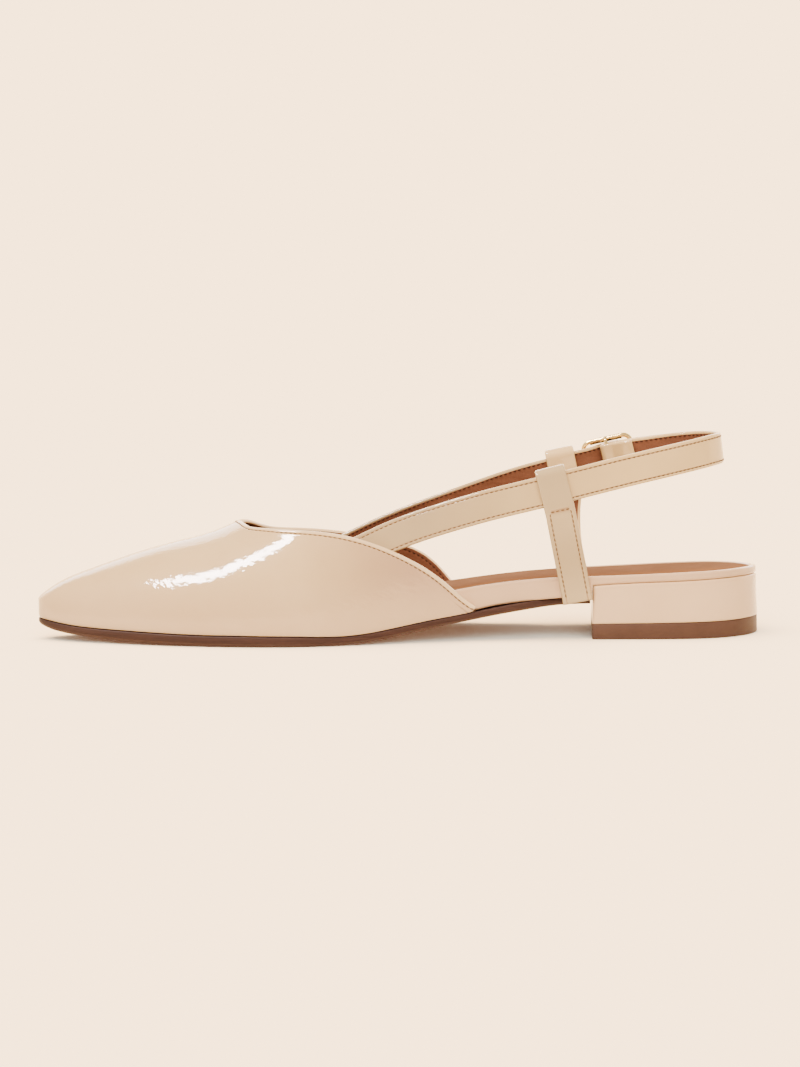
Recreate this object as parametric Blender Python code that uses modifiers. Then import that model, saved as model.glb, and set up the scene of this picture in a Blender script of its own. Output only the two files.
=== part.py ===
"""A sling back flat: the right shoe of a pair, with a low block heel.

Every size and place below is in millimetres and is turned into metres when a
mesh is made. The toe points along -X, the heel along +X, the inner (medial)
side of the foot faces -Y and the outer (lateral) side +Y. The floor is z = 0.
Places along the shoe are given as "s", the distance back from the toe tip.
"""
import math

import bmesh
import bpy
import numpy as np
from mathutils import Vector

MM = 0.001
GAP = 0.3

# Driving dimensions
LENGTH = 268.6
AXIS_Y = -1.85
VAMP_WALL = 1.8
VAMP_INSET = 0.4
VAMP_BULGE = 1.3
TOE_BLUNT = 0.4
TOE_BLUNT_S = 22.0
THROAT_S = 77.0
REAR_S = {-1: 165.0, 1: 161.0}
OUTSOLE_END = 206.8
FLAT_BELOW = 0.06
HEEL_FRONT = 208.0
HEEL_LEAN = 0.7
HEEL_CORNER = 1.4
TOP_PIECE_FRONT = 5.6
TOP_PIECE_BACK = 6.3
SOCK_THICK = 0.8
STRAP_WIDTH = 11.5
STRAP_THICK = 1.6
UPRIGHT_WIDTH = 11.0
WIRE = 1.6
PLY = STRAP_THICK + GAP

# The last's outline from above: s, half width to the medial and lateral side
PLAN_COLUMNS = "s medial lateral"
PLAN = (
    (0, 0, 0),
    (1.5, 4.2, 3.9),
    (5, 7.6, 7.0),
    (12, 12.2, 11.0),
    (22, 17.4, 15.6),
    (35, 23.2, 21.2),
    (50, 28.8, 27.0),
    (65, 33.2, 32.0),
    (80, 36.3, 36.2),
    (95, 37.8, 39.4),
    (108, 37.0, 41.1),
    (120, 34.8, 41.5),
    (135, 31.2, 40.2),
    (150, 27.6, 37.6),
    (165, 25.0, 34.4),
    (180, 23.4, 31.6),
    (195, 22.9, 29.6),
    (210, 23.4, 28.2),
    (225, 24.6, 27.0),
    (240, 25.1, 25.9),
    (252, 23.3, 23.4),
    (260, 18.4, 18.4),
    (265.5, 11.6, 11.6),
    (LENGTH, 0, 0),
)

# The bottom: s, height of the tread, thickness of the outsole's edge, how
# much lower the lateral edge lies, and height of the insole's rim
BOTTOM_COLUMNS = "s tread edge drop rim"
BOTTOM = (
    (0, 6.2, 1.8, 0, 10.8),
    (5, 4.5, 2.7, 0, 10.1),
    (12, 3.1, 3.1, 0, 8.9),
    (22, 1.9, 3.5, 0, 8.1),
    (35, 0.9, 4.0, 0, 7.7),
    (50, 0.3, 4.1, 0, 7.5),
    (62, 0.1, 4.0, 0, 7.5),
    (74, 0, 4.0, 0, 7.5),
    (90, 0, 3.8, 0, 7.7),
    (104, 0, 3.5, 0, 8.7),
    (114, 0.25, 3.0, 0.2, 10.0),
    (124, 1.0, 2.8, 0.5, 11.7),
    (136, 2.9, 2.8, 1.1, 14.4),
    (148, 5.2, 2.7, 1.6, 17.1),
    (158, 6.9, 2.6, 2.0, 19.0),
    (170, 9.0, 2.8, 2.1, 20.8),
    (185, 11.4, 2.8, 1.9, 22.3),
    (197, 12.6, 2.6, 1.4, 22.9),
    (210, 12.9, 2.4, 1.0, 23.2),
    (225, 12.9, 2.4, 0.8, 23.7),
    (245, 12.9, 2.4, 0.8, 24.5),
    (LENGTH, 12.9, 2.4, 0.8, 25.2),
)

# The last's ridge: s, its height, and how far it lies to the medial side
CONE_COLUMNS = "s height shift"
CONE = (
    (0, 15.0, 0),
    (2.6, 17.6, 0.2),
    (5.7, 19.8, 0.4),
    (12.6, 23.4, 0.8),
    (24, 27.6, 1.4),
    (39, 32.6, 2.0),
    (54, 36.6, 2.4),
    (66, 39.7, 2.8),
    (77, 44.2, 3.0),
    (85, 47.8, 3.2),
    (95, 52.6, 3.4),
    (108, 58.8, 3.6),
    (120, 64.0, 3.8),
    (140, 72.0, 4.0),
    (170, 80.0, 4.0),
)

# The top line: share of the way from the throat to the rear end of the vamp,
# and the angle round the section, 0 at the sole and 90 on the ridge
TOP_LINE_COLUMNS = "way medial lateral"
TOP_LINE = (
    (0, 90, 90),
    (0.02, 78, 75.5),
    (0.05, 68, 65),
    (0.10, 61, 55),
    (0.19, 53.2, 46.8),
    (0.28, 47.4, 41.6),
    (0.40, 41.2, 36),
    (0.55, 33, 30),
    (0.70, 23.5, 23.2),
    (0.80, 16.8, 17.9),
    (0.88, 10.8, 11.5),
    (0.95, 5, 5),
    (1, 1.4, 1.4),
)

# Top of the heel block under the footbed: s and height
HEEL_TOP_COLUMNS = "s height"
HEEL_TOP = (
    (207, 19.5),
    (214, 20.0),
    (225, 20.6),
    (240, 21.1),
    (254, 21.7),
    (LENGTH, 22.0),
)

# How far the outsole and the footbed lie inside the last's outline
INSET_COLUMNS = "s outsole footbed"
INSET = (
    (0, 0.1, 2.7),
    (120, 0.1, 2.7),
    (150, 0.2, 2.8),
    (160, 0.3, 2.6),
    (172, 0.4, 2.0),
    (184, 0.5, 1.4),
    (192, 2.9, 1.1),
    (200, 3.1, 0.9),
    (212, 3.1, 0.6),
    (230, 3.1, 0.3),
    (LENGTH, 3.1, 0.2),
)

# Centre line of the heel strap from inside the medial vamp round the heel:
# place, and the angle at which the strap's lower edge stands out
SLING_COLUMNS = "x y z lean"
SLING = (
    (-21.0, -31.4, 29.6, 16),
    (-9.9, -28.6, 34.3, 16),
    (-1.2, -26.8, 38.2, 15),
    (8.0, -26.3, 41.7, 14),
    (20.0, -26.8, 45.5, 12),
    (34.5, -27.8, 49.6, 9),
    (48.8, -28.4, 53.0, 7),
    (59.3, -28.5, 55.4, 6),
    (70.0, -27.6, 57.9, 6),
    (81.0, -25.8, 60.4, 6),
    (91.5, -22.9, 62.6, 6),
    (102.0, -18.3, 64.6, 6),
    (111.5, -11.9, 66.3, 6),
    (118.3, -5.4, 67.5, 6),
    (121.4, 1.2, 68.0, 6),
    (120.6, 8.0, 68.1, 6),
    (116.5, 14.2, 67.9, 6),
    (110.0, 19.3, 67.4, 6),
)

# Centre line of the front strap from inside the lateral vamp to the buckle
FRONT_STRAP = (
    (-30.0, 31.8, 24.9, 18),
    (-18.5, 31.2, 30.5, 19),
    (-5.4, 29.8, 36.5, 18),
    (10.0, 28.7, 42.4, 14),
    (25.5, 28.2, 47.7, 10),
    (40.8, 28.6, 52.8, 7),
    (51.0, 28.7, 55.7, 6),
    (62.2, 28.4, 58.5, 6),
)

# The buckle: its centre, size over the wire, and the direction of its straps
BUCKLE_CENTRE = (80.9, 28.6, 63.7)
BUCKLE_LENGTH = 20.0
BUCKLE_HEIGHT = 16.4
BUCKLE_CORNER = 3.0
BUCKLE_SLOPE = 12.5
STRAP_BELOW_CENTRE = 0.6
BUCKLE_YAW = -9.0
BUCKLE_LEAN = 6.0
BAR_RECESS = 1.2

# Straps through the buckle: a runs back along the strap, n outward from the
# plane of the buckle's end bars, and low is how far below its middle they pass
END_BAR = BUCKLE_LENGTH / 2 - WIRE / 2
UNDER_BAR = -(WIRE / 2 + GAP + STRAP_THICK / 2)
OVER_CENTRE = -BAR_RECESS - UNDER_BAR
WRAP_RADIUS = -UNDER_BAR
PAST_BAR = UNDER_BAR - 0.25
AT_BUCKLE_COLUMNS = "a n low"
SLING_AT_BUCKLE = (
    (22.0, PAST_BAR - PLY - 0.1, 1.6),
    (14.5, PAST_BAR - PLY - 0.1, 1.0),
    (END_BAR, PAST_BAR - PLY - 0.1, 0.6),
    (7.1, -3.8, 0.6),
    (5.0, -2.6, 0.6),
    (2.6, -0.5, 0.6),
)
SLING_RETURN = (
    (2.4, -3.5, 0.6),
    (5.0, -4.9, 0.6),
    (7.2, -5.9, 0.6),
    (10.4, -6.45, 0.6),
)
FRONT_AT_BUCKLE = (
    (-END_BAR - 1.8, PAST_BAR, 0.6),
    (-END_BAR, PAST_BAR, 0.6),
    (-7.0, -1.7, 0.6),
    (-5.0, -0.3, 0.6),
    (-3.0, 1.3, 0.6),
    (0.0, OVER_CENTRE + PLY + 0.15, 0.6),
    (3.0, 1.6, 0.6),
    (5.0, 0.1, 0.6),
    (7.0, -1.6, 0.6),
    (END_BAR, PAST_BAR, 0.6),
    (END_BAR + 1.8, PAST_BAR, 0.7),
    (15.0, PAST_BAR, 1.1),
    (22.0, PAST_BAR, 1.8),
    (27.0, PAST_BAR - 0.1, 2.5),
)
PUNCH_RADIUS = 1.0
PUNCH_AT = (-10.4, 4.4, 12.0)
PRONG_HOLE_AT = -2.9
PRONG_HOLE_LENGTH = 5.6
PRONG_HOLE_WIDTH = 2.6
PRONG_SLOT_AT = -0.4
PRONG_SLOT_LENGTH = 6.6
PRONG_SLOT_WIDTH = 4.4
PRONG_WIRE = 1.4
PUNCH_DEPTH = 9.0
TIP_LENGTH = 7.0
TIP_NARROWEST = 0.45

# Near the buckle the straps take its own up direction: held fully within the
# first distance of its centre, free beyond the second
HELD_WITHIN = 16.0
FREE_BEYOND = 28.0
LATERAL_FROM_Y = 15.0
SLING_MIDDLE = (55.0, -1.0, 60.0)

# The uprights: foot of the strip, and the loop at its top
LOOP_AT_X = {-1: 60.0, 1: 63.0}
LOOP_TILT = {-1: 0.0, 1: 4.0}
LOOP_SPARE = {-1: 0.0, 1: 0.3}
FOOT_X = 68.0
FOOT_Z = 13.8
FOOT_SLOPE = 5.0
UPRIGHT_BOW = {-1: 0.0, 1: 2.0}


def spline(places, values):
    """Give a natural cubic spline through the values as a function."""
    x = np.array(places, float)
    y = np.array(values, float)
    h = np.diff(x)
    n = len(x)
    matrix = np.eye(n)
    right = np.zeros(n)
    for i in range(1, n - 1):
        matrix[i, i - 1] = h[i - 1]
        matrix[i, i] = 2 * (h[i - 1] + h[i])
        matrix[i, i + 1] = h[i]
        right[i] = 6 * ((y[i + 1] - y[i]) / h[i] - (y[i] - y[i - 1]) / h[i - 1])
    bend = np.linalg.solve(matrix, right)

    def value(at):
        at = min(max(at, x[0]), x[-1])
        i = min(int(np.searchsorted(x, at, side="right")) - 1, n - 2)
        a = (x[i + 1] - at) / h[i]
        b = 1 - a
        curved = (a ** 3 - a) * bend[i] + (b ** 3 - b) * bend[i + 1]
        return float(a * y[i] + b * y[i + 1] + curved * h[i] ** 2 / 6)

    return value


def columns(names, rows, along=lambda place: place):
    """Make a smooth function of the first column from each of the others."""
    places = [along(row[0]) for row in rows]
    found = {}
    for index, name in enumerate(names.split()[1:], start=1):
        curve = spline(places, [row[index] for row in rows])
        found[name] = lambda at, curve=curve: curve(along(at))
    return found


def round_ends(s):
    """Stretch s near both ends, where the outline turns round."""
    return math.acos(min(1, max(-1, 1 - 2 * s / LENGTH)))


plan = columns(PLAN_COLUMNS, PLAN, round_ends)
bottom = columns(BOTTOM_COLUMNS, BOTTOM)
cone = columns(CONE_COLUMNS, CONE, round_ends)
top_line = columns(TOP_LINE_COLUMNS, TOP_LINE, math.sqrt)
heel_top = columns(HEEL_TOP_COLUMNS, HEEL_TOP)
inset = columns(INSET_COLUMNS, INSET)


def half_width(s, side):
    name = "medial" if side < 0 else "lateral"
    return max(0, plan[name](s))


def sag(s, y):
    """How much lower the bottom lies at y than at the medial edge."""
    across = half_width(s, -1) + half_width(s, 1)
    share = (y - AXIS_Y + half_width(s, -1)) / max(across, 1)
    return bottom["drop"](s) * min(1, max(0, share))


def tread_z(s, y):
    height = bottom["tread"](s) - sag(s, y)
    return height if height > FLAT_BELOW else 0.0


def outsole_top_z(s, y):
    return tread_z(s, y) + bottom["edge"](s)


def rim_z(s, y):
    return bottom["rim"](s) - sag(s, y)


def world(s, y, z):
    return Vector((s - LENGTH / 2, y, z))


def vamp_point(s, side, angle):
    """Point on the outside of the last, at an angle round its section."""
    width = max(0, half_width(s, side) - VAMP_INSET * min(1, s / 5))
    foot_y = AXIS_Y + side * width
    foot_z = outsole_top_z(s, foot_y) + GAP
    ridge_y = AXIS_Y - cone["shift"](s)
    turn = math.radians(angle)
    bulge = VAMP_BULGE * min(1, width / 25) * math.sin(2 * turn) * math.cos(turn)
    blunt = 1 - TOE_BLUNT * max(0, 1 - s / TOE_BLUNT_S)
    across = max(0, math.cos(turn)) ** blunt if angle < 90 else 0
    y = ridge_y + (foot_y - ridge_y) * across + side * bulge
    z = foot_z + (cone["height"](s) - foot_z) * math.sin(turn)
    return world(s, y, z)


def finish(name, mesh, material, collection):
    """Turn a bmesh in millimetres into an object in metres."""
    bmesh.ops.remove_doubles(mesh, verts=mesh.verts, dist=0.001)
    bmesh.ops.scale(mesh, vec=(MM, MM, MM), verts=mesh.verts)
    bmesh.ops.recalc_face_normals(mesh, faces=mesh.faces)
    data = bpy.data.meshes.new(name)
    mesh.to_mesh(data)
    mesh.free()
    made = bpy.data.objects.new(name, data)
    if material:
        data.materials.append(material)
    collection.objects.link(made)
    return made


def make_material(name, colour, roughness, metallic=0.0):
    material = bpy.data.materials.new(name)
    material.use_nodes = True
    shader = material.node_tree.nodes["Principled BSDF"]
    shader.inputs["Base Color"].default_value = (*colour, 1)
    shader.inputs["Roughness"].default_value = roughness
    shader.inputs["Metallic"].default_value = metallic
    return material


def stations(start, end, count, extra=()):
    """Places along s, closer together where the outline turns round."""
    first = round_ends(start)
    last = round_ends(end)
    places = set(extra)
    for index in range(count + 1):
        turn = first + (last - first) * index / count
        places.add(LENGTH / 2 * (1 - math.cos(turn)))
    return sorted(places)


def outline_ring(places, depth, height):
    """A closed ring round the outline, depth(s) inside it, at height(s, y)."""
    ring = []
    for side, order in ((-1, places), (1, places[::-1])):
        for s in order:
            if side > 0 and half_width(s, side) == 0:
                continue
            ring.append((s, side))
    points = [Vector((s, AXIS_Y + side * half_width(s, side))) for s, side in ring]
    moved = []
    for index, (s, side) in enumerate(ring):
        ahead = points[(index + 1) % len(points)]
        behind = points[index - 1]
        if half_width(s, side) > 0 and s == places[0]:
            behind = points[index] if side < 0 else behind
            ahead = points[index] if side > 0 else ahead
        if half_width(s, side) > 0 and s == places[-1]:
            ahead = points[index] if side < 0 else ahead
            behind = points[index] if side > 0 else behind
        along = (ahead - behind).normalized()
        inward = Vector((-along.y, along.x))
        point = points[index] + inward * depth(s)
        if half_width(s, side) > 0 and s in (places[0], places[-1]):
            point.x = s
        moved.append(world(point.x, point.y, height(point.x, point.y)))
    return moved


def loft_rings(mesh, rings):
    """Join each ring of points to the next with quads."""
    rows = [[mesh.verts.new(point) for point in ring] for ring in rings]
    for lower, upper in zip(rows, rows[1:]):
        for index in range(len(lower)):
            after = (index + 1) % len(lower)
            mesh.faces.new((lower[index], lower[after], upper[after], upper[index]))
    return rows


def close_ring(mesh, row, dip=0.0):
    """Close a ring with rungs from side to side, dished by dip in the middle."""
    count = len(row)
    tip = count % 2 == 0 and (row[0].co - row[-1].co).length > 0.001
    left = list(range(0, count // 2 + 1)) if tip else list(range(0, (count + 1) // 2))
    pairs = []
    for index in left:
        other = (count - index) % count if tip else count - 1 - index
        pairs.append((row[index], row[other]))
    middles = []
    for one, other in pairs:
        if one is other:
            middles.append(one)
            continue
        middle = (one.co + other.co) / 2
        wide = (one.co - other.co).length
        middle.z -= dip * min(1, wide / 40)
        middles.append(mesh.verts.new(middle) if dip else None)
    for index in range(len(pairs) - 1):
        for pick in (0, 1):
            near = pairs[index][pick]
            far = pairs[index + 1][pick]
            if dip:
                corners = [near, far, middles[index + 1], middles[index]]
            elif pick == 0:
                corners = [near, far, pairs[index + 1][1], pairs[index][1]]
            else:
                continue
            kept = []
            for corner in corners:
                if corner not in kept:
                    kept.append(corner)
            mesh.faces.new(kept)


def slab(name, places, levels, material, collection, dip=0.0):
    """A slab on the outline: a ring for each level, closed at both ends."""
    mesh = bmesh.new()
    rings = [outline_ring(level[0] if len(level) > 2 else places, *level[-2:]) for level in levels]
    rows = loft_rings(mesh, rings)
    close_ring(mesh, rows[0])
    close_ring(mesh, rows[-1], dip)
    return finish(name, mesh, material, collection)


def make_outsole(material, collection):
    places = stations(0, OUTSOLE_END, 46, extra=(76, 102))
    levels = []
    for depth, share in ((1.4, 0), (0.3, 0.25), (0, 0.42), (0, 0.92), (0.3, 1)):
        levels.append((
            lambda s, depth=depth: inset["outsole"](s) + depth * min(1, 0.35 + s / 20),
            lambda s, y, share=share: tread_z(s, y) + share * bottom["edge"](s),
        ))
    return slab("outsole", places, levels, material, collection)


def heel_levels(rows):
    """Rings of the heel: depth inside the outline, height, share of its lean."""
    levels = []
    for depth, height, lean in rows:
        front = HEEL_FRONT - HEEL_LEAN * (1 - lean)
        near = (front, front + 0.3, front + HEEL_CORNER)
        places = sorted(set(near) | set(stations(front + 5, LENGTH, 20)))

        def inside(s, depth=depth, front=front):
            left = max(0, 1 - (s - front) / HEEL_CORNER)
            return depth + HEEL_CORNER * (1 - math.sqrt(1 - left * left))

        levels.append((places, inside, height))
    return levels


def make_heel(material, collection):
    def base(lift):
        return lambda s, y: top_piece_z(s) + GAP + lift

    def top(drop):
        return lambda s, y: heel_top["height"](s) - sag(s, y) - drop

    rows = ((0.1, base(0), 0), (-0.15, base(0.5), 0), (0.3, top(5), 0.8), (0.2, top(0.8), 1), (0.8, top(0), 1))
    return slab("heel", [], heel_levels(rows), material, collection)


def top_piece_z(s):
    share = (s - HEEL_FRONT) / (LENGTH - HEEL_FRONT)
    return TOP_PIECE_FRONT + (TOP_PIECE_BACK - TOP_PIECE_FRONT) * share


def make_top_piece(material, collection):
    rows = (
        (0.3, lambda s, y: 0.0, 0),
        (0.0, lambda s, y: 0.3, 0),
        (0.0, lambda s, y: top_piece_z(s) - 0.2, 0),
        (0.2, lambda s, y: top_piece_z(s), 0),
    )
    return slab("top_piece", [], heel_levels(rows), material, collection)


def footbed_under_z(s, y):
    if s > (OUTSOLE_END + HEEL_FRONT) / 2:
        return heel_top["height"](s) - sag(s, y) + GAP
    return outsole_top_z(s, y) + GAP


def make_footbed(material, collection):
    places = stations(0, LENGTH, 48, extra=(207.2, 207.7))
    levels = []
    for depth, share, lift in (
        (0.6, 0, 0),
        (0, 0, 0.7),
        (0, 1, -1.0),
        (0.35, 1, -0.3),
        (1.0, 1, 0),
        (1.7, 1, -0.1),
        (2.0, 1, -0.9),
    ):
        levels.append((
            lambda s, depth=depth: inset["footbed"](s) + depth,
            lambda s, y, share=share, lift=lift: (rim_z(s, y) if share else footbed_under_z(s, y)) + lift,
        ))
    return slab("footbed", places, levels, material, collection, dip=1.2)


def make_sock(material, collection):
    places = stations(0, LENGTH, 40)
    levels = []
    for depth, lift in ((0, 0), (0, SOCK_THICK - 0.3), (0.4, SOCK_THICK)):
        levels.append((
            lambda s, depth=depth: inset["footbed"](s) + 2.4 + depth,
            lambda s, y, lift=lift: rim_z(s, y) - 0.9 + GAP + lift,
        ))
    mesh = bmesh.new()
    rows = loft_rings(mesh, [outline_ring(places, *level) for level in levels])
    close_ring(mesh, rows[0], 1.2)
    close_ring(mesh, rows[-1], 1.2)
    return finish("sock", mesh, material, collection)


def make_vamp(material, collection):
    """The upper: an arch to the throat, and a wing on each side behind it."""
    around = 12
    front = [0, 0.9, 2.6, 5.2, 9, 14, 20, 27, 35, 44, 53, 61.5, 69.5, THROAT_S]
    steps = 14
    mesh = bmesh.new()
    grids = {}
    for side in (-1, 1):
        grid = []
        for s in front:
            grid.append([vamp_point(s, side, 90 * index / around) for index in range(around + 1)])
        name = "medial" if side < 0 else "lateral"
        for step in range(1, steps + 1):
            way = (step / steps) ** 2
            s = THROAT_S + way * (REAR_S[side] - THROAT_S)
            top = top_line[name](way)
            grid.append([vamp_point(s, side, top * index / around) for index in range(around + 1)])
        grids[side] = [[mesh.verts.new(point) for point in row] for row in grid]
    for side, rows in grids.items():
        for row, after in zip(rows, rows[1:]):
            for index in range(around):
                corners = (row[index], after[index], after[index + 1], row[index + 1])
                mesh.faces.new(corners if side < 0 else corners[::-1])
    made = finish("vamp", mesh, material, collection)
    wall = made.modifiers.new("wall", "SOLIDIFY")
    wall.thickness = VAMP_WALL * MM
    wall.offset = -1
    wall.use_even_offset = True
    return made


def strap_section(width, thick):
    """Half of a strap's section: across the thickness and along the width."""
    round_off = thick * 0.28
    w = width / 2
    t = thick / 2
    return (
        (t, -w + round_off),
        (t, w - round_off),
        (t - round_off, w),
        (-t + round_off, w),
        (-t, w - round_off),
        (-t, -w + round_off),
        (-t + round_off, -w),
        (t - round_off, -w),
    )


def band(name, centre, up, width, thick, material, collection, taper=None):
    """Sweep a strap along its centre line; up gives its width's direction."""
    mesh = bmesh.new()
    rows = []
    count = len(centre)
    for index, point in enumerate(centre):
        ahead = centre[min(index + 1, count - 1)]
        behind = centre[max(index - 1, 0)]
        along = (ahead - behind).normalized()
        across = (up[index] - along * up[index].dot(along)).normalized()
        out = across.cross(along).normalized()
        scale = taper(index) if taper else 1
        section = strap_section(width * scale, thick)
        rows.append([mesh.verts.new(point + out * t + across * w) for t, w in section])
    for row, after in zip(rows, rows[1:]):
        for index in range(len(row)):
            beside = (index + 1) % len(row)
            mesh.faces.new((row[index], row[beside], after[beside], after[index]))
    mesh.faces.new(rows[0])
    mesh.faces.new(rows[-1])
    return finish(name, mesh, material, collection)


def smooth_path(points, spacing, fine_spacing=0, fine_from=10000):
    """Sample a smooth curve through the points, finer in its last stretch."""
    run = [0]
    for one, other in zip(points, points[1:]):
        run.append(run[-1] + (Vector(other[:3]) - Vector(one[:3])).length)
    curves = [spline(run, [point[axis] for point in points]) for axis in range(len(points[0]))]
    places = [0]
    for index in range(1, len(run)):
        step = fine_spacing if index > fine_from else spacing
        count = max(1, round((run[index] - run[index - 1]) / step))
        for part in range(1, count + 1):
            places.append(run[index - 1] + (run[index] - run[index - 1]) * part / count)
    return [[curve(place) for curve in curves] for place in places]


def buckle_axes():
    """Directions of the buckle: along the strap, outward, and up."""
    slope = math.radians(BUCKLE_SLOPE)
    yaw = math.radians(BUCKLE_YAW)
    lean = math.radians(BUCKLE_LEAN)
    along = Vector((math.cos(yaw) * math.cos(slope), math.sin(yaw) * math.cos(slope), math.sin(slope)))
    out = Vector((-math.sin(yaw), math.cos(yaw), math.tan(lean)))
    out = (out - along * out.dot(along)).normalized()
    return along, out, out.cross(along) * -1


def at_buckle(a, n, u=0.0):
    along, out, up = buckle_axes()
    return Vector(BUCKLE_CENTRE) + along * a + out * n + up * u


def leaning_up(point, heading, lean, outward):
    """The width direction of a strap whose lower edge stands out by lean."""
    side = Vector((heading.y, -heading.x, 0)).normalized()
    if side.dot(outward) < 0:
        side = -side
    free = Vector((0, 0, math.cos(math.radians(lean)))) - side * math.sin(math.radians(lean))
    along, out, held = buckle_axes()
    away = abs((point - Vector(BUCKLE_CENTRE)).dot(along))
    hold = min(1, max(0, (FREE_BEYOND - away) / (FREE_BEYOND - HELD_WITHIN)))
    return free.lerp(held, hold if point.y > LATERAL_FROM_Y else 0).normalized()


def sling_path():
    """Centre line of the heel strap, its fold round the buckle's bar, its end."""
    joined = list(SLING)
    for a, n, low in SLING_AT_BUCKLE:
        joined.append((*at_buckle(a, n, -low), BUCKLE_LEAN))
    path = smooth_path(joined, 5.0, 1.3, len(SLING) + 1)
    centre = [Vector(row[:3]) for row in path]
    middle = Vector(SLING_MIDDLE)
    up = []
    for index, row in enumerate(path):
        heading = centre[min(index + 1, len(centre) - 1)] - centre[max(index - 1, 0)]
        up.append(leaning_up(centre[index], heading, row[3], centre[index] - middle))
    bar_up = buckle_axes()[2]
    for index in range(13):
        turn = math.radians(60 + 210 * index / 12)
        a = WRAP_RADIUS * math.cos(turn)
        n = -BAR_RECESS + WRAP_RADIUS * math.sin(turn)
        centre.append(at_buckle(a, n, -STRAP_BELOW_CENTRE))
        up.append(bar_up)
    back = [at_buckle(a, n, -low) for a, n, low in SLING_RETURN]
    for row in smooth_path(back, 2.5):
        centre.append(Vector(row))
        up.append(bar_up)
    return centre, up


def front_path():
    joined = list(FRONT_STRAP)
    for a, n, low in FRONT_AT_BUCKLE:
        joined.append((*at_buckle(a, n, -low), BUCKLE_LEAN))
    path = smooth_path(joined, 5.0, 1.3, len(FRONT_STRAP))
    centre = [Vector(row[:3]) for row in path]
    up = []
    for index, row in enumerate(path):
        heading = centre[min(index + 1, len(centre) - 1)] - centre[max(index - 1, 0)]
        up.append(leaning_up(centre[index], heading, row[3], Vector((0, 1, 0))))
    return centre, up


def cut(target, cutters):
    """Take the cutters' shapes out of the target, and keep them as guides."""
    for cutter in cutters:
        cutter.hide_render = True
        cutter.display_type = "WIRE"
        hole = target.modifiers.new(cutter.name, "BOOLEAN")
        hole.operation = "DIFFERENCE"
        hole.solver = "EXACT"
        hole.object = cutter


def buckle_cutter(name, size, a, n, collection, round_hole):
    """A cutter through the straps at the buckle, along its outward axis."""
    mesh = bmesh.new()
    if round_hole:
        bmesh.ops.create_cone(mesh, cap_ends=True, segments=12, radius1=0.5, radius2=0.5, depth=1)
    else:
        bmesh.ops.create_cube(mesh, size=1)
    for vert in mesh.verts:
        local = vert.co
        high = local.y * size[1] - STRAP_BELOW_CENTRE
        vert.co = at_buckle(a + local.x * size[0], n + local.z * size[2], high)
    return finish(name, mesh, None, collection)


def make_heel_strap(material, collection, cutters):
    centre, up = sling_path()
    made = band("heel_strap", centre, up, STRAP_WIDTH, STRAP_THICK, material, collection)
    slot = buckle_cutter(
        "prong_slot_cutter",
        (PRONG_SLOT_LENGTH, PRONG_SLOT_WIDTH, 2 * WRAP_RADIUS + STRAP_THICK + 1.0),
        PRONG_SLOT_AT,
        -BAR_RECESS + 0.3,
        cutters,
        False,
    )
    cut(made, [slot])
    return made


def make_front_strap(material, collection, cutters):
    centre, up = front_path()
    end = centre[-1]

    def tip(index):
        left = (end - centre[index]).length / TIP_LENGTH
        rounded = math.sqrt(max(0, 1 - (1 - min(1, left)) ** 2))
        return TIP_NARROWEST + (1 - TIP_NARROWEST) * rounded

    made = band("front_strap", centre, up, STRAP_WIDTH, STRAP_THICK, material, collection, tip)
    holes = []
    for index, a in enumerate(PUNCH_AT):
        size = (2 * PUNCH_RADIUS, 2 * PUNCH_RADIUS, PUNCH_DEPTH)
        holes.append(buckle_cutter("punch_cutter_%d" % (index + 1), size, a, -1, cutters, True))
    size = (PRONG_HOLE_LENGTH, PRONG_HOLE_WIDTH, PUNCH_DEPTH)
    holes.append(buckle_cutter("prong_hole_cutter", size, PRONG_HOLE_AT, 0, cutters, True))
    cut(made, holes)
    return made


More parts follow.
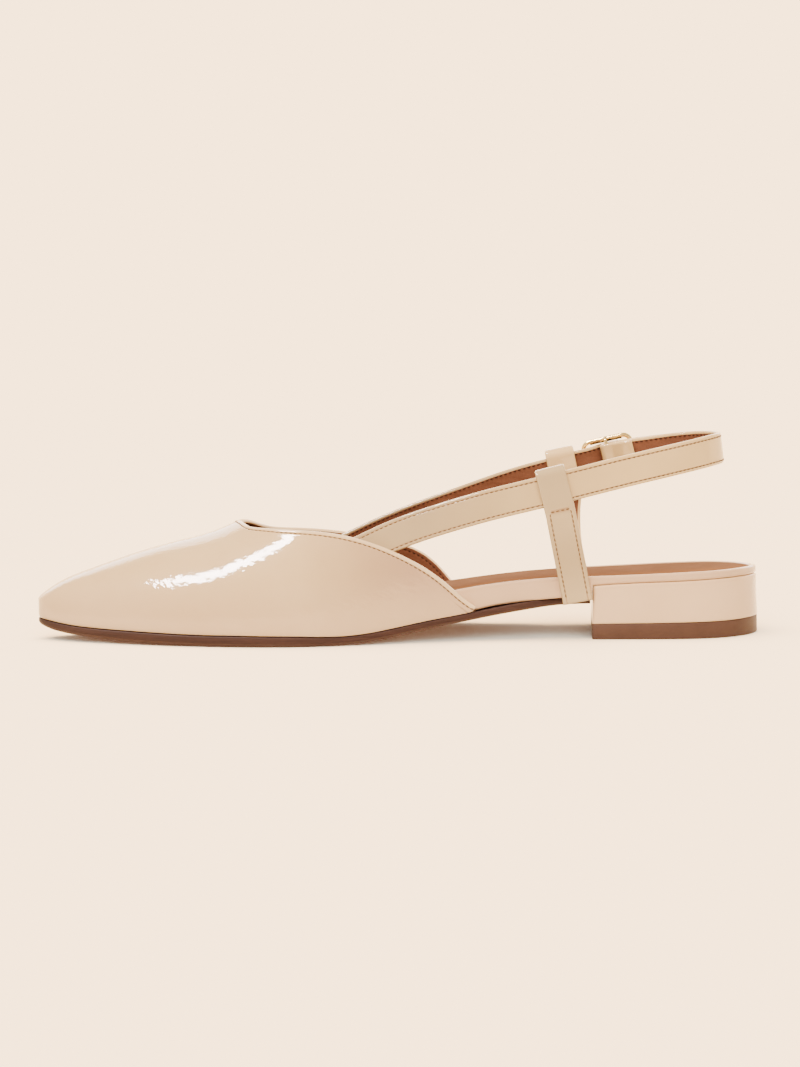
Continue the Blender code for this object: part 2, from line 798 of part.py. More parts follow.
def make_upright(side, crossing, material, collection):
    """A strip from the sole's edge up, over the strap, and down inside it."""
    point, heading, strap_up = crossing
    out = strap_up.cross(heading).normalized()
    if out.y * side < 0:
        out = -out
    heading = heading if heading.x > 0 else -heading
    tilt = math.radians(LOOP_TILT[side])
    heading, strap_up = (
        heading * math.cos(tilt) - strap_up * math.sin(tilt),
        strap_up * math.cos(tilt) + heading * math.sin(tilt),
    )
    half = STRAP_WIDTH / 2 + LOOP_SPARE[side]
    foot_s = FOOT_X + LENGTH / 2
    wall = half_width(foot_s, side) - inset["footbed"](foot_s)
    foot_y = AXIS_Y + side * (wall + GAP + STRAP_THICK / 2 + 0.1)
    foot = Vector((FOOT_X, foot_y, FOOT_Z))
    ply = PLY + 0.2
    below = point + out * ply - strap_up * (half + 3)
    rows = [foot]
    for share in (0.12, 0.3, 0.5, 0.7, 0.88):
        middle = foot.lerp(below, share)
        straight = share - math.sin(2 * math.pi * share) / (2 * math.pi)
        middle.y = foot.y + (below.y - foot.y) * straight
        middle.x -= UPRIGHT_BOW[side] * math.sin(math.pi * share)
        rows.append(middle)
    rows.append(below)
    rows.append(point + out * ply)
    rows.append(point + out * ply + strap_up * (half - 0.9))
    for index in range(1, 8):
        turn = math.pi * index / 8
        rows.append(point + out * ply * math.cos(turn) + strap_up * (half - 0.4 + ply * math.sin(turn)))
    rows.append(point - out * ply + strap_up * (half - 0.9))
    rows.append(point - out * ply)
    rows.append(point - out * ply - strap_up * (half - 0.4))
    rows.append(point - out * 0.8 - strap_up * (half + 1.8))
    rows.append(point - strap_up * (half + 4.0))
    spread = (half_width(foot_s + 5, side) - half_width(foot_s - 5, side)) / 10
    level = Vector((1, side * spread, math.tan(math.radians(FOOT_SLOPE)))).normalized()
    across = []
    for index in range(len(rows)):
        share = min(1, index / 6)
        across.append(level.lerp(heading, share).normalized())
    name = "upright_medial" if side < 0 else "upright_lateral"
    return band(name, rows, across, UPRIGHT_WIDTH, STRAP_THICK, material, collection)


def crossing_at(path, x):
    """Where a strap passes x on its way back: place, heading and width."""
    centre, up = path
    for index in range(1, len(centre) - 1):
        if centre[index].x <= x < centre[index + 1].x:
            share = (x - centre[index].x) / (centre[index + 1].x - centre[index].x)
            point = centre[index].lerp(centre[index + 1], share)
            heading = (centre[index + 1] - centre[index]).normalized()
            across = (up[index] - heading * up[index].dot(heading)).normalized()
            return point, heading, across
    raise ValueError("the strap does not pass there")


def wire(name, points, radius, cyclic, collection):
    """A round wire through points in millimetres, as a mesh with its caps."""
    data = bpy.data.curves.new(name, "CURVE")
    data.dimensions = "3D"
    data.bevel_depth = radius * MM
    data.bevel_resolution = 2
    data.use_fill_caps = True
    line = data.splines.new("POLY")
    line.points.add(len(points) - 1)
    for target, point in zip(line.points, points):
        target.co = (*(point * MM), 1)
    line.use_cyclic_u = cyclic
    curve = bpy.data.objects.new(name, data)
    collection.objects.link(curve)
    shape = curve.evaluated_get(bpy.context.evaluated_depsgraph_get())
    mesh = bpy.data.meshes.new_from_object(shape)
    bpy.data.objects.remove(curve)
    welded = bmesh.new()
    welded.from_mesh(mesh)
    bmesh.ops.remove_doubles(welded, verts=welded.verts, dist=0.00001)
    bmesh.ops.recalc_face_normals(welded, faces=welded.faces)
    welded.to_mesh(mesh)
    welded.free()
    made = bpy.data.objects.new(name, mesh)
    collection.objects.link(made)
    return made


def make_buckle(material, collection, cutters):
    """A frame with rounded corners, joined to a recessed centre bar."""
    radius = WIRE / 2
    long = BUCKLE_LENGTH / 2 - radius
    high = BUCKLE_HEIGHT / 2 - radius
    points = []
    for sign_a, sign_u, start in ((1, 1, 0), (-1, 1, 90), (-1, -1, 180), (1, -1, 270)):
        for step in range(5):
            turn = math.radians(start + 90 * step / 4)
            a = sign_a * (long - BUCKLE_CORNER) + BUCKLE_CORNER * math.cos(turn)
            u = sign_u * (high - BUCKLE_CORNER) + BUCKLE_CORNER * math.sin(turn)
            points.append(at_buckle(a, 0, u))
    frame = wire("buckle_frame", points, radius, True, collection)
    inner = high - 0.3
    bar_points = [
        at_buckle(0, -0.2, -high),
        at_buckle(0, -BAR_RECESS, -inner + 1.2),
        at_buckle(0, -BAR_RECESS, inner - 1.2),
        at_buckle(0, -0.2, high),
    ]
    bar = wire("buckle_bar", bar_points, radius * 0.9, False, cutters)
    bar.hide_render = True
    bar.display_type = "WIRE"
    join = frame.modifiers.new("bar", "BOOLEAN")
    join.operation = "UNION"
    join.solver = "EXACT"
    join.object = bar
    frame.data.materials.append(material)
    return frame


def prong_point(a, n):
    return at_buckle(a, n, -STRAP_BELOW_CENTRE)


def make_prong(material, collection):
    """A wire bent round the centre bar, its tip on the front end bar."""
    clear = WIRE / 2 + GAP + PRONG_WIRE / 2
    points = []
    for index in range(9):
        turn = math.radians(-150 + 240 * index / 8)
        points.append(prong_point(clear * math.cos(turn), -BAR_RECESS + clear * math.sin(turn)))
    points.append(prong_point(-3.2, 1.15))
    points.append(prong_point(-6.2, clear - 0.05))
    points.append(prong_point(-END_BAR - 1.0, clear + 0.05))
    made = wire("buckle_prong", points, PRONG_WIRE / 2, False, collection)
    made.data.materials.append(material)
    return made


def main():
    for old in list(bpy.data.objects):
        bpy.data.objects.remove(old)
    shoe = bpy.data.collections.new("sling_back_flat")
    guides = bpy.data.collections.new("cutters")
    bpy.context.scene.collection.children.link(shoe)
    bpy.context.scene.collection.children.link(guides)

    patent = (0.72, 0.55, 0.40)
    make_outsole(make_material("outsole_leather", (0.16, 0.07, 0.042), 0.5), shoe)
    make_heel(make_material("heel_cover", patent, 0.15), shoe)
    make_top_piece(make_material("top_piece_rubber", (0.25, 0.105, 0.06), 0.5), shoe)
    make_footbed(make_material("footbed_cover", patent, 0.15), shoe)
    make_sock(make_material("sock_leather", (0.52, 0.28, 0.16), 0.5), shoe)
    make_vamp(make_material("vamp_patent", patent, 0.12), shoe)
    strap = make_material("strap_patent", patent, 0.15)
    make_heel_strap(strap, shoe, guides)
    make_front_strap(strap.copy(), shoe, guides)
    for side, path in ((-1, sling_path()), (1, front_path())):
        crossing = crossing_at(path, LOOP_AT_X[side])
        make_upright(side, crossing, make_material("upright_patent", patent, 0.15), shoe)
    gold = make_material("pale_gold", (0.83, 0.66, 0.36), 0.2, 1.0)
    make_buckle(gold, shoe, guides)
    make_prong(gold.copy(), shoe)


main()
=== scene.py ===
"""Dresses the sling back flat: finer leather forms, seams, materials, light.

Sizes and places are in millimetres until a mesh is made. The toe points along
-X, the medial side of this right shoe faces -Y, and the floor is z = 0. Places
along the shoe are given as "s", the distance back from the toe tip.
"""

import math

import bmesh
import bpy
import numpy as np
from mathutils import Matrix, Vector

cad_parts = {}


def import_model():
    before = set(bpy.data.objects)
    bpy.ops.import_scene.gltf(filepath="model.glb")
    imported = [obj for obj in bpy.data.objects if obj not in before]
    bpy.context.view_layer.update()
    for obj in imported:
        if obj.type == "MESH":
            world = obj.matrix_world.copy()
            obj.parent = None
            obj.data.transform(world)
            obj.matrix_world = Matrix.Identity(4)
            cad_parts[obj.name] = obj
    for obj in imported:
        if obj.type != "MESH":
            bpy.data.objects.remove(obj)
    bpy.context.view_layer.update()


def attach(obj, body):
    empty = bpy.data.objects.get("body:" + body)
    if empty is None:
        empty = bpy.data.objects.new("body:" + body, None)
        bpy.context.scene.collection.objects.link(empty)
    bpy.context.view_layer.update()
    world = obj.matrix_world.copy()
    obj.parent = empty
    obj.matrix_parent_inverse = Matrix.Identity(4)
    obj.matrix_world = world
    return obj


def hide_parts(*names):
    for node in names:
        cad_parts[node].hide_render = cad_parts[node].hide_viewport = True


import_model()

MM = 0.001
GAP = 0.3
PATH_STEP = 0.9

# Sizes shared with the solids
LENGTH = 268.6
AXIS_Y = -1.85
VAMP_WALL = 1.8
VAMP_INSET = 0.4
VAMP_BULGE = 1.3
TOE_BLUNT = 0.4
TOE_BLUNT_S = 22.0
THROAT_S = 77.0
REAR_S = {-1: 165.0, 1: 161.0}
OUTSOLE_END = 206.8
FLAT_BELOW = 0.06
HEEL_FRONT = 208.0
HEEL_LEAN = 0.7
HEEL_CORNER = 1.4
TOP_PIECE_FRONT = 5.6
TOP_PIECE_BACK = 6.3
SHANK_GAP = 0.55
SHANK_GAP_S = 171
SHANK_GAP_SPREAD = 9
STRAP_WIDTH = 11.5
STRAP_THICK = 1.6
UPRIGHT_WIDTH = 11.0
WIRE = 1.6
PLY = STRAP_THICK + GAP

# The last's outline from above: s, half width to the medial and lateral side
PLAN_COLUMNS = "s medial lateral"
PLAN = (
    (0, 0, 0),
    (1.5, 4.2, 3.9),
    (5, 7.6, 7.0),
    (12, 12.2, 11.0),
    (22, 17.4, 15.6),
    (35, 23.2, 21.2),
    (50, 28.8, 27.0),
    (65, 33.2, 32.0),
    (80, 36.3, 36.2),
    (95, 37.8, 39.4),
    (108, 37.0, 41.1),
    (120, 34.8, 41.5),
    (135, 31.2, 40.2),
    (150, 27.6, 37.6),
    (165, 25.0, 34.4),
    (180, 23.4, 31.6),
    (195, 22.9, 29.6),
    (210, 23.4, 28.2),
    (225, 24.6, 27.0),
    (240, 25.1, 25.9),
    (252, 23.3, 23.4),
    (260, 18.4, 18.4),
    (265.5, 11.6, 11.6),
    (LENGTH, 0, 0),
)

# The bottom: s, height of the tread, thickness of the outsole's edge, how
# much lower the lateral edge lies, and height of the insole's rim
BOTTOM_COLUMNS = "s tread edge drop rim"
BOTTOM = (
    (0, 6.2, 1.8, 0, 10.8),
    (5, 4.5, 2.7, 0, 10.1),
    (12, 3.1, 3.1, 0, 8.9),
    (22, 1.9, 3.5, 0, 8.1),
    (35, 0.9, 4.0, 0, 7.7),
    (50, 0.3, 4.1, 0, 7.5),
    (62, 0.1, 4.0, 0, 7.5),
    (74, 0, 4.0, 0, 7.5),
    (90, 0, 3.8, 0, 7.7),
    (104, 0, 3.5, 0, 8.7),
    (114, 0.25, 3.0, 0.2, 10.0),
    (124, 1.0, 2.8, 0.5, 11.7),
    (136, 2.9, 2.8, 1.1, 14.4),
    (148, 5.2, 2.7, 1.6, 17.1),
    (158, 6.9, 2.6, 2.0, 19.0),
    (170, 9.0, 2.8, 2.1, 20.8),
    (185, 11.4, 2.8, 1.9, 22.3),
    (197, 12.6, 2.6, 1.4, 22.9),
    (210, 12.9, 2.4, 1.0, 23.2),
    (225, 12.9, 2.4, 0.8, 23.7),
    (245, 12.9, 2.4, 0.8, 24.5),
    (LENGTH, 12.9, 2.4, 0.8, 25.2),
)

# The last's ridge: s, its height, and how far it lies to the medial side
CONE_COLUMNS = "s height shift"
CONE = (
    (0, 15.0, 0),
    (2.6, 17.6, 0.2),
    (5.7, 19.8, 0.4),
    (12.6, 23.4, 0.8),
    (24, 27.6, 1.4),
    (39, 32.6, 2.0),
    (54, 36.6, 2.4),
    (66, 39.7, 2.8),
    (77, 44.2, 3.0),
    (85, 47.8, 3.2),
    (95, 52.6, 3.4),
    (108, 58.8, 3.6),
    (120, 64.0, 3.8),
    (140, 72.0, 4.0),
    (170, 80.0, 4.0),
)

# The top line: share of the way from the throat to the rear end of the vamp,
# and the angle round the section, 0 at the sole and 90 on the ridge
TOP_LINE_COLUMNS = "way medial lateral"
TOP_LINE = (
    (0, 90, 90),
    (0.02, 78, 75.5),
    (0.05, 68, 65),
    (0.10, 61, 55),
    (0.19, 53.2, 46.8),
    (0.28, 47.4, 41.6),
    (0.40, 41.2, 36),
    (0.55, 33, 30),
    (0.70, 23.5, 23.2),
    (0.80, 16.8, 17.9),
    (0.88, 10.8, 11.5),
    (0.95, 5, 5),
    (1, 1.4, 1.4),
)

# Top of the heel block under the footbed: s and height
HEEL_TOP_COLUMNS = "s height"
HEEL_TOP = (
    (207, 19.5),
    (214, 20.0),
    (225, 20.6),
    (240, 21.1),
    (254, 21.7),
    (LENGTH, 22.0),
)

# How far the outsole, the footbed and the sock lie inside the last's outline
INSET_COLUMNS = "s outsole footbed sock"
INSET = (
    (0, 0.1, 2.7, 5.0),
    (120, 0.1, 2.7, 5.0),
    (150, 0.2, 2.8, 4.6),
    (160, 0.3, 2.6, 4.1),
    (172, 0.4, 2.0, 3.4),
    (184, 0.5, 1.4, 2.9),
    (192, 2.9, 1.1, 2.8),
    (200, 3.1, 0.9, 2.9),
    (212, 3.1, 0.6, 2.9),
    (230, 3.1, 0.3, 2.8),
    (LENGTH, 3.1, 0.2, 2.7),
)

# Centre line of the heel strap from inside the medial vamp round the heel:
# place, and the angle at which the strap's lower edge stands out
SLING = (
    (-21.0, -31.4, 29.6, 16),
    (-9.9, -28.6, 34.3, 16),
    (-1.2, -26.8, 38.2, 15),
    (8.0, -26.3, 41.7, 14),
    (20.0, -26.8, 45.5, 12),
    (34.5, -27.8, 49.6, 9),
    (48.8, -28.4, 53.0, 7),
    (59.3, -28.5, 55.4, 6),
    (70.0, -27.6, 57.9, 6),
    (81.0, -25.8, 60.4, 6),
    (91.5, -22.9, 62.6, 6),
    (102.0, -18.3, 64.6, 6),
    (111.5, -11.9, 66.3, 6),
    (118.3, -5.4, 67.5, 6),
    (121.4, 1.2, 68.0, 6),
    (120.6, 8.0, 68.1, 6),
    (116.5, 14.2, 67.9, 6),
    (110.0, 19.3, 67.4, 6),
)

# Centre line of the front strap from inside the lateral vamp to the buckle
FRONT_STRAP = (
    (-30.0, 31.8, 24.9, 18),
    (-18.5, 31.2, 30.5, 19),
    (-5.4, 29.8, 36.5, 18),
    (10.0, 28.7, 42.4, 14),
    (25.5, 28.2, 47.7, 10),
    (40.8, 28.6, 52.8, 7),
    (51.0, 28.7, 55.7, 6),
    (62.2, 28.4, 58.5, 6),
)

# The buckle: its centre, size over the wire, and the direction of its straps
BUCKLE_CENTRE = (80.9, 28.6, 63.7)
BUCKLE_LENGTH = 20.0
BUCKLE_HEIGHT = 16.4
BUCKLE_CORNER = 3.0
BUCKLE_SLOPE = 12.5
STRAP_BELOW_CENTRE = 0.6
BUCKLE_YAW = -9.0
BUCKLE_LEAN = 6.0
HOLD_REACH = 28
HOLD_RUN = 12
HOLD_BEYOND_Y = 15
BAR_RECESS = 1.2

# Straps through the buckle: a runs back along the strap, n outward from the
# plane of the buckle's end bars, and low is how far below its middle they pass
END_BAR = BUCKLE_LENGTH / 2 - WIRE / 2
UNDER_BAR = -(WIRE / 2 + GAP + STRAP_THICK / 2)
OVER_CENTRE = -BAR_RECESS - UNDER_BAR
WRAP_RADIUS = -UNDER_BAR
PAST_BAR = UNDER_BAR - 0.25
SLING_AT_BUCKLE = (
    (22.0, PAST_BAR - PLY - 0.1, 1.6),
    (14.5, PAST_BAR - PLY - 0.1, 1.0),
    (END_BAR, PAST_BAR - PLY - 0.1, 0.6),
    (7.1, -3.8, 0.6),
    (5.0, -2.6, 0.6),
    (2.6, -0.5, 0.6),
)
SLING_RETURN = (
    (2.4, -3.5, 0.6),
    (5.0, -4.9, 0.6),
    (7.2, -5.9, 0.6),
    (10.4, -6.45, 0.6),
)
FRONT_AT_BUCKLE = (
    (-END_BAR - 1.8, PAST_BAR, 0.6),
    (-END_BAR, PAST_BAR, 0.6),
    (-7.0, -1.7, 0.6),
    (-5.0, -0.3, 0.6),
    (-3.0, 1.3, 0.6),
    (0.0, OVER_CENTRE + PLY + 0.15, 0.6),
    (3.0, 1.6, 0.6),
    (5.0, 0.1, 0.6),
    (7.0, -1.6, 0.6),
    (END_BAR, PAST_BAR, 0.6),
    (END_BAR + 1.8, PAST_BAR, 0.7),
    (15.0, PAST_BAR, 1.1),
    (22.0, PAST_BAR, 1.8),
    (27.0, PAST_BAR - 0.1, 2.5),
)
TIP_LENGTH = 7
PUNCH_RADIUS = 1.0
PUNCH_AT = (-10.4, 4.4, 12.0)
PRONG_WIRE = 1.4

# The uprights: where the loops cross the straps, and the foot of each strip
LOOP_AT_X = {-1: 60.0, 1: 63.0}
LOOP_TILT = {-1: 0.0, 1: 4.0}
LOOP_SPARE = {-1: 0.0, 1: 0.3}
FOOT_X = 68.0
FOOT_Z = 13.8
FOOT_SLOPE = 5.0
UPRIGHT_BOW = {-1: 0.0, 1: 2.0}

# Seams: distance of the stitches from an edge, their pitch, length and radius
LIP = 0.7
SEAM_FROM_TOP_LINE = 1.75
STITCH_PITCH = 1.85
STITCH_LENGTH = 1.3
STITCH_RADIUS = 0.22
STRAP_SEAM_TOP = 1.5
STRAP_SEAM_LOW = 1.2
UPRIGHT_SEAM = 1.6
TOP_BAR_DROP = 0.6
SEAM_DEPTH = 0.18
SEAM_SPREAD = 0.22
# GROOVE_DIP: how deeply faces must be pressed to take the painted seam shade
GROOVE_DIP = 1.4

# The floor's sheet in metres: its reach, and where and how it turns up
FLOOR_REACH = 40.0
FLOOR_TURN = 2.2
TURN_RADIUS = 0.8
FLOOR_COLOUR = (0.88, 0.88, 0.88, 1)

# The backdrop's glow, and how far the strip light is turned about its axis
BACKDROP = (5.75, 3.82, 2.08)
STRIP_TURN = 62

PIECES = []


# The last

def spline(places, values):
    """Give a natural cubic spline through the values as a function."""
    x = np.array(places, float)
    y = np.array(values, float)
    h = np.diff(x)
    n = len(x)
    matrix = np.eye(n)
    right = np.zeros(n)
    for i in range(1, n - 1):
        matrix[i, i - 1] = h[i - 1]
        matrix[i, i] = 2 * (h[i - 1] + h[i])
        matrix[i, i + 1] = h[i]
        right[i] = 6 * ((y[i + 1] - y[i]) / h[i] - (y[i] - y[i - 1]) / h[i - 1])
    bend = np.linalg.solve(matrix, right)

    def value(at):
        at = min(max(at, x[0]), x[-1])
        i = min(int(np.searchsorted(x, at, side="right")) - 1, n - 2)
        a = (x[i + 1] - at) / h[i]
        b = 1 - a
        curved = (a ** 3 - a) * bend[i] + (b ** 3 - b) * bend[i + 1]
        return float(a * y[i] + b * y[i + 1] + curved * h[i] ** 2 / 6)

    return value


def columns(names, rows, along=lambda place: place):
    """Make a smooth function of the first column from each of the others."""
    places = [along(row[0]) for row in rows]
    found = {}
    for index, name in enumerate(names.split()[1:], start=1):
        curve = spline(places, [row[index] for row in rows])
        found[name] = lambda at, curve=curve: curve(along(at))
    return found


def round_ends(s):
    """Stretch s near both ends, where the outline turns round."""
    return math.acos(min(1, max(-1, 1 - 2 * s / LENGTH)))


plan = columns(PLAN_COLUMNS, PLAN, round_ends)
bottom = columns(BOTTOM_COLUMNS, BOTTOM)
cone = columns(CONE_COLUMNS, CONE, round_ends)
top_line = columns(TOP_LINE_COLUMNS, TOP_LINE, math.sqrt)
heel_top = columns(HEEL_TOP_COLUMNS, HEEL_TOP)
inset = columns(INSET_COLUMNS, INSET)


def half_width(s, side):
    name = "medial" if side < 0 else "lateral"
    return max(0, plan[name](s))


def sag(s, y):
    """How much lower the bottom lies at y than at the medial edge."""
    across = half_width(s, -1) + half_width(s, 1)
    share = (y - AXIS_Y + half_width(s, -1)) / max(across, 1)
    return bottom["drop"](s) * min(1, max(0, share))


def tread_z(s, y):
    height = bottom["tread"](s) - sag(s, y)
    return height if height > FLAT_BELOW else 0.0


def outsole_top_z(s, y):
    return tread_z(s, y) + bottom["edge"](s)


def rim_z(s, y):
    return bottom["rim"](s) - sag(s, y)


def world(s, y, z):
    return Vector((s - LENGTH / 2, y, z))


def vamp_point(s, side, angle):
    """Point on the outside of the last, at an angle round its section."""
    width = max(0, half_width(s, side) - VAMP_INSET * min(1, s / 5))
    foot_y = AXIS_Y + side * width
    foot_z = outsole_top_z(s, foot_y) + GAP
    ridge_y = AXIS_Y - cone["shift"](s)
    turn = math.radians(angle)
    bulge = VAMP_BULGE * min(1, width / 25) * math.sin(2 * turn) * math.cos(turn)
    blunt = 1 - TOE_BLUNT * max(0, 1 - s / TOE_BLUNT_S)
    across = max(0, math.cos(turn)) ** blunt if angle < 90 else 0
    y = ridge_y + (foot_y - ridge_y) * across + side * bulge
    z = foot_z + (cone["height"](s) - foot_z) * math.sin(turn)
    return world(s, y, z)


# Mesh helpers

def add_object(name, data):
    made = bpy.data.objects.new(name, data)
    bpy.context.scene.collection.objects.link(made)
    return made


def evaluated_mesh(thing):
    shape = thing.evaluated_get(bpy.context.evaluated_depsgraph_get())
    return bpy.data.meshes.new_from_object(shape)


def mesh_object(name, mesh, materials, scale=1.0, smooth=True):
    """Turn a bmesh into an object with its materials."""
    bmesh.ops.scale(mesh, vec=(scale, scale, scale), verts=mesh.verts)
    data = bpy.data.meshes.new(name)
    mesh.to_mesh(data)
    mesh.free()
    data.polygons.foreach_set("use_smooth", [smooth] * len(data.polygons))
    for material in materials:
        data.materials.append(material)
    return add_object(name, data)


def add_piece(name, mesh, materials, nodes):
    """Make an object in metres from a bmesh, riding on the shoe's one body.

    It replaces the solids of the given nodes and takes the given materials as its slots.
    """
    made = mesh_object(name, mesh, materials, MM)
    if nodes:
        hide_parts(*nodes)
    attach(made, "root")
    PIECES.append(made)
    return made


def stations(start, end, count):
    """Places along s, closer together where the outline turns round."""
    first = round_ends(start)
    last = round_ends(end)
    turns = [first + (last - first) * index / count for index in range(count + 1)]
    return [LENGTH / 2 * (1 - math.cos(turn)) for turn in turns]


def outline_ring(places, depth, height):
    """A closed ring round the outline, depth(s) inside it, at height(s, y)."""
    ring = [
        (s, side) for side, order in ((-1, places), (1, places[::-1])) for s in order
        if side < 0 or half_width(s, side) >= 0.001
    ]
    points = [Vector((s, AXIS_Y + side * half_width(s, side))) for s, side in ring]
    moved = []
    for index, (s, side) in enumerate(ring):
        ahead = points[(index + 1) % len(points)]
        behind = points[index - 1]
        wide = half_width(s, side) > 0.001
        if wide and s == places[0]:
            behind = points[index] if side < 0 else behind
            ahead = points[index] if side > 0 else ahead
        if wide and s == places[-1]:
            ahead = points[index] if side < 0 else ahead
            behind = points[index] if side > 0 else behind
        along = (ahead - behind).normalized()
        inward = Vector((-along.y, along.x))
        point = points[index] + inward * depth(s)
        if wide and s in (places[0], places[-1]):
            point.x = s
        moved.append(world(point.x, point.y, height(point.x, point.y)))
    return moved


def bridge(mesh, row, after):
    """Join two rings of vertices with quads; give each quad and its columns."""
    for index in range(len(row)):
        beside = (index + 1) % len(row)
        face = mesh.faces.new((row[index], row[beside], after[beside], after[index]))
        yield face, index, beside


def loft_rings(mesh, rings, slots):
    """Join each ring of points to the next with quads, a slot for each step."""
    rows = [[mesh.verts.new(point) for point in ring] for ring in rings]
    for step, (lower, upper) in enumerate(zip(rows, rows[1:])):
        for face, _, _ in bridge(mesh, lower, upper):
            face.material_index = slots[step]
    return rows


def close_ring(mesh, row, dish, slot, across):
    """Close a ring with rungs from side to side, dished in the middle."""
    count = len(row)
    tip = count % 2 == 0 and (row[0].co - row[-1].co).length > 0.001
    last = count // 2 + 1 if tip else (count + 1) // 2
    rungs = []
    for index in range(last):
        one = row[index]
        other = row[(count - index) % count] if tip else row[count - 1 - index]
        if one is other:
            rungs.append([one] * (across + 1))
            continue
        wide = (one.co - other.co).length
        rung = [one]
        for step in range(1, across):
            share = step / across
            point = one.co.lerp(other.co, share)
            point.z -= dish * min(1, wide / 40) * (1 - (2 * share - 1) ** 2)
            rung.append(mesh.verts.new(point))
        rungs.append(rung + [other])
    for rung, after in zip(rungs, rungs[1:]):
        for step in range(across):
            corners = []
            for corner in (rung[step], after[step], after[step + 1], rung[step + 1]):
                if corner not in corners:
                    corners.append(corner)
            if len(corners) > 2:
                mesh.faces.new(corners).material_index = slot


def run_along(places):
    """Distance of each place from the first, along the line through them."""
    run = [0.0]
    for one, other in zip(places, places[1:]):
        run.append(run[-1] + (other - one).length)
    return run


def find_on_run(run, at):
    """The first place on a run past a distance, and the share of the way there."""
    where = min(max(int(np.searchsorted(run, at)), 1), len(run) - 1)
    return where, (at - run[where - 1]) / max(run[where] - run[where - 1], 1e-6)


def slab(places, levels, slots=None, dish=0.0, across=8):
    """A slab on the outline: a ring for each level, closed at both ends."""
    mesh = bmesh.new()
    rings = [outline_ring(level[0] if len(level) > 2 else places, *level[-2:]) for level in levels]
    slots = slots or [0] * (len(levels) + 1)
    rows = loft_rings(mesh, rings, slots[1:])
    close_ring(mesh, rows[0], 0, slots[0], across)
    close_ring(mesh, rows[-1], dish, slots[-1], across)
    bmesh.ops.recalc_face_normals(mesh, faces=mesh.faces)
    return mesh


# Materials

def add_node(tree, kind, values, links):
    """Add a shader node with constant values and what is linked into it."""
    node = tree.nodes.new("ShaderNode" + kind)
    for name, value in values.items():
        node.inputs[name].default_value = value
    for name, source in links.items():
        tree.links.new(source, node.inputs[name])
    return node


def new_material(name, values):
    """A material whose shader has constant values, and places on the object."""
    material = bpy.data.materials.new(name)
    material.use_nodes = True
    tree = material.node_tree
    shader = tree.nodes["Principled BSDF"]
    for socket, value in values.items():
        shader.inputs[socket].default_value = value
    return material, tree, shader, add_node(tree, "TexCoord", {}, {}).outputs["Object"]


def noise(tree, place, scale, detail, rough, stretch=(1, 1, 1), turn=0):
    """A noise texture over places in metres, turned about y, then stretched."""
    values = {"Rotation": (0, math.radians(turn), 0), "Scale": stretch}
    spread = add_node(tree, "Mapping", values, {"Vector": place})
    spread.vector_type = "TEXTURE" if turn else "POINT"
    values = {"Scale": scale, "Detail": detail, "Roughness": rough}
    return add_node(tree, "TexNoise", values, {"Vector": spread.outputs["Vector"]}).outputs["Fac"]


def ramp(tree, factor, stops):
    """Colours or greys along a factor."""
    node = add_node(tree, "ValToRGB", {}, {"Fac": factor})
    for element, (at, colour) in zip(node.color_ramp.elements, stops):
        element.position = at
        element.color = colour
    return node.outputs["Color"]


def bump(tree, height, strength, distance, under=None):
    links = {"Height": height} if under is None else {"Height": height, "Normal": under}
    values = {"Strength": strength, "Distance": distance}
    return add_node(tree, "Bump", values, links).outputs["Normal"]


def way_along(tree, place, axis, start, end):
    """A factor from 0 to 1 between two places on an axis, in metres."""
    split = add_node(tree, "SeparateXYZ", {}, {"Vector": place})
    values = {"From Min": start, "From Max": end}
    return add_node(tree, "MapRange", values, {"Value": split.outputs[axis]}).outputs[0]


def tones(tree, factor, low, high):
    return ramp(tree, factor, ((0.3, (*low, 1)), (0.7, (*high, 1))))


def paint(tree, place, shader, cloud, low, high, painted_light_drifts=()):
    """Cloudy base colour, drifting into other tones along the given axes: the drifts paint light,
    shade and reflections into the colour.
    """
    colour = tones(tree, cloud, low, high)
    for end_low, end_high, axis, start, end in painted_light_drifts:
        blend = tree.nodes.new("ShaderNodeMix")
        blend.data_type = "RGBA"
        tree.links.new(way_along(tree, place, axis, start, end), blend.inputs["Factor"])
        tree.links.new(colour, blend.inputs[6])
        tree.links.new(tones(tree, cloud, end_low, end_high), blend.inputs[7])
        colour = blend.outputs[2]
    tree.links.new(colour, shader.inputs["Base Color"])


def patent(name, low, high, crinkle, painted_light_drifts=()):
    """Patent leather: cream under a clear coat with fine slanting crinkles."""
    material, tree, shader, place = new_material(name, {
        "Roughness": 0.5,
        "Specular IOR Level": 0.08,
        "Coat Weight": 1.0,
        "Coat Roughness": 0.06,
        "Coat IOR": 1.5,
        "Subsurface Weight": 0.06,
        "Subsurface Radius": (0.002, 0.0012, 0.0008),
    })
    paint(tree, place, shader, noise(tree, place, 38, 4, 0.55), low, high, painted_light_drifts)
    soft = bump(tree, noise(tree, place, 170, 2, 0.5), 0.5, 0.00006)
    streak = noise(tree, place, 520, 1.6, 0.5, (1.9, 1, 0.75), 32)
    tree.links.new(bump(tree, streak, crinkle, 0.00024, soft), shader.inputs["Coat Normal"])
    tree.links.new(bump(tree, streak, crinkle, 0.00003, soft), shader.inputs["Normal"])
    return material


def matte_leather(name, low, high, roughness, grain, fibres=(1, 1, 1), gloss=0.15, painted_light_drifts=()):
    """Unfinished or softly finished leather with pores and grain."""
    values = {"Roughness": roughness, "Specular IOR Level": gloss}
    material, tree, shader, place = new_material(name, values)
    paint(tree, place, shader, noise(tree, place, 120, 5, 0.65, fibres), low, high, painted_light_drifts)
    pores = add_node(tree, "TexVoronoi", {"Scale": 1500}, {"Vector": place})
    first = bump(tree, pores.outputs["Distance"], grain, 0.00006)
    rough = noise(tree, place, 900, 4, 0.6, fibres)
    tree.links.new(bump(tree, rough, grain, 0.00012, first), shader.inputs["Normal"])
    return material


